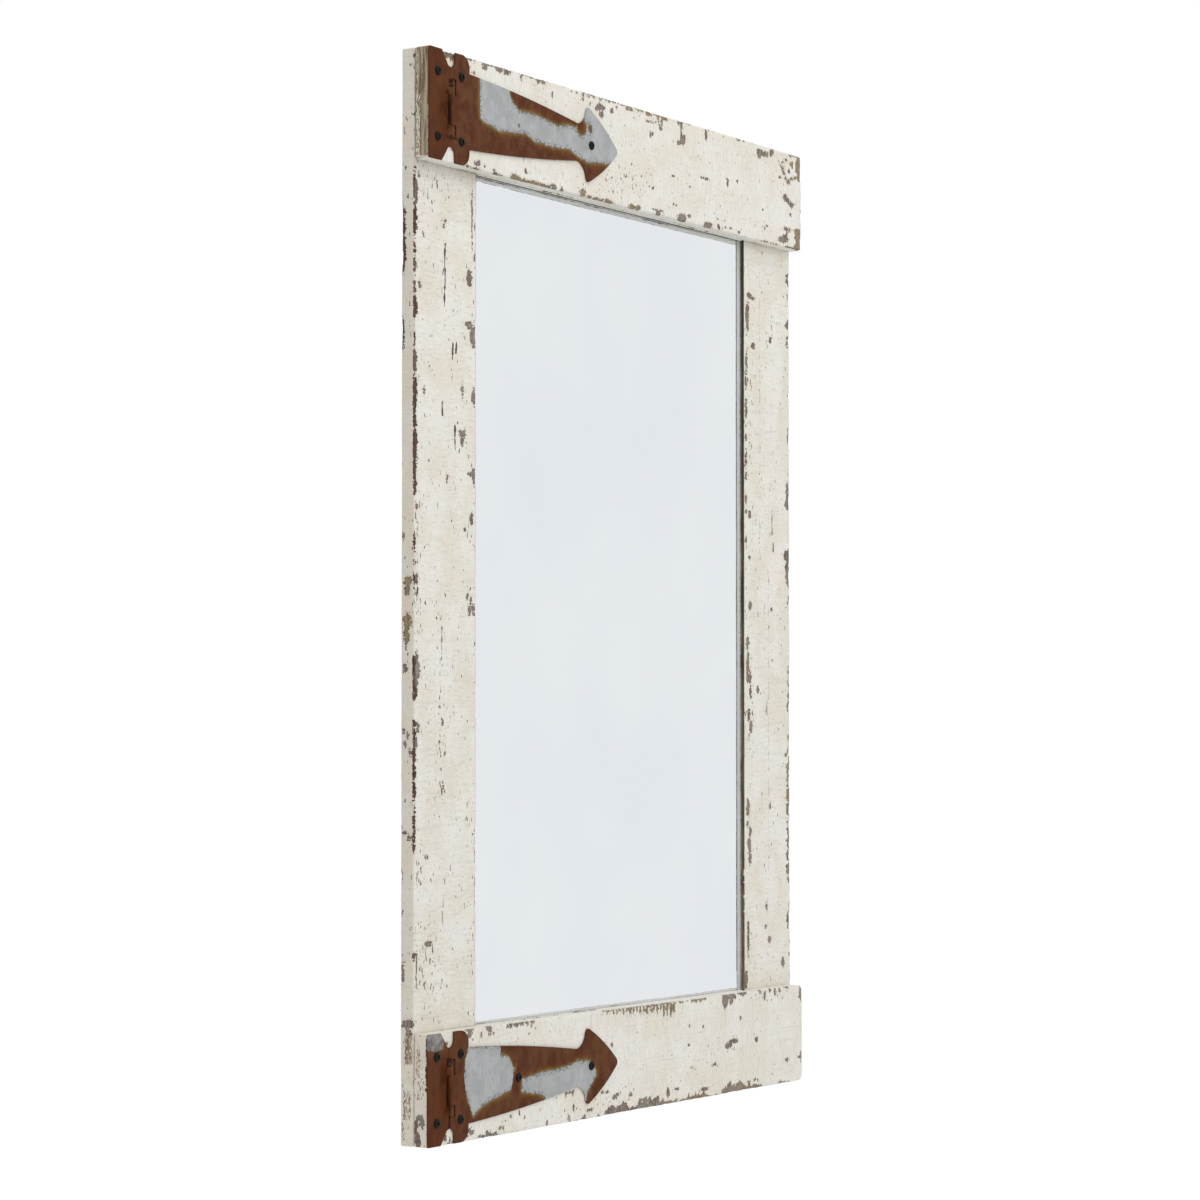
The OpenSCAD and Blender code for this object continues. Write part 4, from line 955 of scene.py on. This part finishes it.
    def fields(self, points):
        """The board's attributes at these points: see painted_board."""
        skin, edge, _ = np.sort(self.from_faces(points), axis=1).T / MM
        x, y, _ = points.T
        on_front = y < self.front + FACE_DEPTH
        on_left = (x < self.left + FACE_DEPTH) & ("side_spots" in self.marks)
        bare, gold = self.bare_and_gold(points, edge, on_front, on_left)
        flecks = 0.2 * np.clip(1 - edge / 12, 0, 1)
        for *box, density in self.marks.get("flecks", ()):
            off, _ = self.off_centre(points, box)
            flecks = np.maximum(flecks, density * np.clip(1.6 - off, 0, 1) * on_front)
        back = (y > self.high[1] - 1.2 * MM) & (edge > 1.0)
        joint = (np.abs(np.abs(x) - OPENING_HALF) < JOINT_HALF) & (y > GLASS_Y)
        raw = np.clip(np.maximum((back | joint) * 1.0, (skin - 1.8) / 0.8), 0, 1)
        shade_and_wear = self.weathered_rust_and_shade(points, on_left)
        return dict(zip(self.FIELDS, (bare, gold, flecks, raw, *shade_and_wear), strict=True))


def wear_down(mesh, wear):
    """Sinks the bare patches by the paint's thickness and nibbles the board's edges."""
    points = places_of(mesh)
    bare = wear.fields(points)["bare"]
    outwards = points - np.clip(points, wear.low + EASING, wear.high - EASING)
    outwards /= np.maximum(np.linalg.norm(outwards, axis=1, keepdims=True), 1e-9)
    edge = np.sort(wear.from_faces(points), axis=1)[:, 1] / MM
    sunk = PAINT_THICKNESS_MM * np.clip((bare + 0.4) / 1.2, 0, 1)
    bite = wear.chance(points, (3.5, 3.5, 3.5), 7) + 0.6 * wear.chance(points, (9, 9, 9), 8)
    nibble = np.clip(bare, 0, 3) * np.clip(bite + 0.5, 0, 1.2) * 0.5 * np.exp(-edge / 2.2)
    worn = points - outwards * ((sunk + nibble) * MM)[:, None]
    mesh.vertices.foreach_set("co", worn.ravel())
    mesh.update()


def merged_copy(node):
    """The CAD node's mesh as one closed skin, on a piece of its own."""
    mesh = nodes[node].data.copy()
    skin = bmesh.new()
    skin.from_mesh(mesh)
    bmesh.ops.remove_doubles(skin, verts=skin.verts, dist=1e-6)
    skin.to_mesh(mesh)
    skin.free()
    mesh.materials.clear()
    return new_piece("solid_" + node, mesh)


def worn_board(tree, node, along, face_mm, finish, wear, seed):
    """A worn plank with the CAD board's holes, groove and rabbet, which then stands for that board."""
    plank = cut_plank(tree, node, along, face_mm, finish, seed)
    wear_down(plank, wear)
    piece = new_piece("plank_" + node, plank)
    solid = merged_copy(node)
    fit = piece.modifiers.new("fit", "BOOLEAN")
    fit.operation = "INTERSECT"
    fit.object = solid
    fit.solver = "MANIFOLD"
    mesh = evaluated_mesh(piece)
    bpy.data.objects.remove(solid)
    mesh.name = "worn_" + node
    mesh.materials.clear()
    mesh.materials.append(finish)
    for name, values in wear.fields(places_of(mesh)).items():
        layer = mesh.attributes.new(name, "FLOAT", "POINT")
        layer.data.foreach_set("value", values.astype(np.float32))
    mesh.polygons.foreach_set("use_smooth", np.ones(len(mesh.polygons), bool))
    mesh.polygons.foreach_set("material_index", np.zeros(len(mesh.polygons), np.int32))
    mesh.set_sharp_from_angle(angle=np.radians(SHARP_DEGREES))
    board = new_piece("worn_" + node, mesh)
    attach(board, "frame")
    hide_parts(node)


def make_boards():
    """The six boards, each with the wear that the photograph shows on it."""
    tree = plank_tree()
    level = painted_board("painted_rails", "x")
    left_up = painted_board("painted_left_stile", "z", LEFT_STILE["cracks"])
    right_up = painted_board("painted_right_stile", "z", RIGHT_STILE["cracks"])
    boards = (
        ("top_rail", "x", 1.5, level, TOP_RAIL),
        ("bottom_rail", "x", 1.5, level, BOTTOM_RAIL),
        ("left_stile", "z", 1.8, left_up, LEFT_STILE),
        ("right_stile", "z", 1.8, right_up, RIGHT_STILE),
        # The cross rails' line of painted shade along the glass: seam is its edge, shade_and_wear its width.
        ("top_cross_rail", "x", 2.5, level, {"seam": "low", "shade_and_wear": 1.9}),
        ("bottom_cross_rail", "x", 2.5, level, {"seam": "high", "shade_and_wear": 0.8}),
    )
    for seed, (node, along, face_mm, finish, marks) in enumerate(boards):
        worn_board(tree, node, along, face_mm, finish, Wear(node, along, marks, 20 * seed), seed)


def dress(finish, *names):
    """Gives CAD nodes a finish."""
    for name in names:
        for slot in nodes[name].material_slots:
            slot.link = "OBJECT"
            slot.material = finish


def dress_fittings():
    dress(rusty_plate("rusty_top_hinge", TOP_PATCHES, TOP_RUST_SPOTS, TOP_RECESS_SHADE, TOP_KNUCKLE_SHADE),
          "top_hinge_leaf", "top_hinge_strap")
    dress(rusty_plate("rusty_bottom_hinge", BOTTOM_PATCHES, (), BOTTOM_RECESS_SHADE, BOTTOM_KNUCKLE_SHADE),
          "bottom_hinge_leaf", "bottom_hinge_strap")
    dress(mottled("rusty_pin", ((3, 3, 3), 4, 21), 0.36, 0.64, ((56, 32, 22), (92, 54, 30)), 0.7, 0.2, uneven=0.2),
          "top_hinge_pin", "bottom_hinge_pin")
    dress(mottled("black_screws", ((1.6, 1.6, 1.6), 3, 22), 0.52, 0.72, ((15, 16, 15), (42, 43, 41)), 0.5, 0.05,
                  uneven=0.25, share=0.6, specular=0.15),
          "top_hinge_screws", "bottom_hinge_screws")
    dress(silvered_glass(), "mirror_glass")
    dress(mottled("white_foam", ((1.6, 1.6, 1.6), 2, 26), 0.35, 0.65, ((226, 226, 220), (240, 240, 236)), 0.9, 0.3),
          "foam_sheet")
    dress(hardboard(), "backing_board")
    dress(mottled("felt", ((0.8, 0.8, 0.8), 4, 33), 0.35, 0.65, ((48, 48, 50), (74, 74, 77)), 0.95, 0.5),
          "wall_bumpers")
    dress(plated_metal("yellow_zinc", (176, 150, 92), (206, 190, 138), (1, 1, 1), 0.34), "frame_screws")
    dress(plated_metal("bright_zinc", (168, 168, 166), (206, 207, 206), (1, 1, 1), 0.30),
          "backing_screws", "left_hanger_screws", "right_hanger_screws")
    dress(plated_metal("brass_plate", (186, 158, 92), (216, 192, 130), (1, 1, 8), 0.26),
          "left_hanger_plate", "left_hanger_ring", "right_hanger_plate", "right_hanger_ring")


def seen_directly(tree):
    """1 for what the camera sees itself, in a polished face or through glass."""
    path = Wire.add(tree, "ShaderNodeLightPath", out="Is Camera Ray")
    return path.most(path.also("Is Glossy Ray"), path.also("Is Transmission Ray"))


def soft_lamp(name, place, watts, across):
    """A round softbox aimed at the mirror's middle."""
    lamp = bpy.data.lights.new(name, "AREA")
    lamp.shape = "DISK"
    lamp.size = across
    lamp.energy = watts
    softbox = new_piece(name, lamp)
    softbox.location = place
    softbox.rotation_euler = (LAMP_AIM - softbox.location).to_track_quat("-Z", "Y").to_euler()


def light_room():
    """White room: soft light from all round, a large lamp right of the camera and one above."""
    world = bpy.data.worlds.new("white room")
    bpy.context.scene.world = world
    world.use_nodes = True
    tree = world.node_tree
    tree.nodes.clear()
    strength = ROOM_LIGHT + seen_directly(tree) * (1 - ROOM_LIGHT)
    room = Wire.add(tree, "ShaderNodeBackground", {"Color": (1, 1, 1, 1), "Strength": strength})
    Wire.add(tree, "ShaderNodeOutputWorld", {"Surface": room})
    soft_lamp("softbox", (0.2, -3.2, 1.9), LAMP_WATTS, 1.8)
    soft_lamp("high_softbox", (-0.5, -1.4, 2.6), HIGH_LAMP_WATTS, 1.2)


def lay_floor():
    """Pale floor below the hanging mirror. It shows white but keeps the mirror's shadow."""
    mesh = bpy.data.meshes.new("floor")
    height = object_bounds()[0].z - FLOOR_DROP
    corners = [(x * FLOOR_HALF, y * FLOOR_HALF, height) for x, y in ((-1, -1), (1, -1), (1, 1), (-1, 1))]
    mesh.from_pydata(corners, [], [(0, 1, 2, 3)])
    material = bpy.data.materials.new("floor")
    material.use_nodes = True
    tree = material.node_tree
    tree.nodes.clear()
    glow = Wire.add(tree, "ShaderNodeEmission", {"Strength": seen_directly(tree) * FLOOR_GLOW})
    matt = Wire.add(tree, "ShaderNodeBsdfDiffuse", {"Color": (FLOOR_TINT, FLOOR_TINT, FLOOR_TINT, 1)})
    both = Wire.add(tree, "ShaderNodeAddShader", {0: matt, 1: glow})
    Wire.add(tree, "ShaderNodeOutputMaterial", {"Surface": both})
    mesh.materials.append(material)
    floor = new_piece("floor", mesh)


def set_camera():
    data = bpy.data.cameras.new("camera")
    data.sensor_width = SENSOR_MM
    data.lens = CAMERA_LENS_MM
    data.shift_y = CAMERA_SHIFT
    camera = new_piece("camera", data)
    camera.location = CAMERA_PLACE
    camera.rotation_euler = CAMERA_SIGHT.to_track_quat("-Z", "Y").to_euler()
    bpy.context.scene.camera = camera


make_boards()
dress_fittings()
set_camera()
light_room()
lay_floor()
bpy.context.scene.view_settings.view_transform = "Standard"
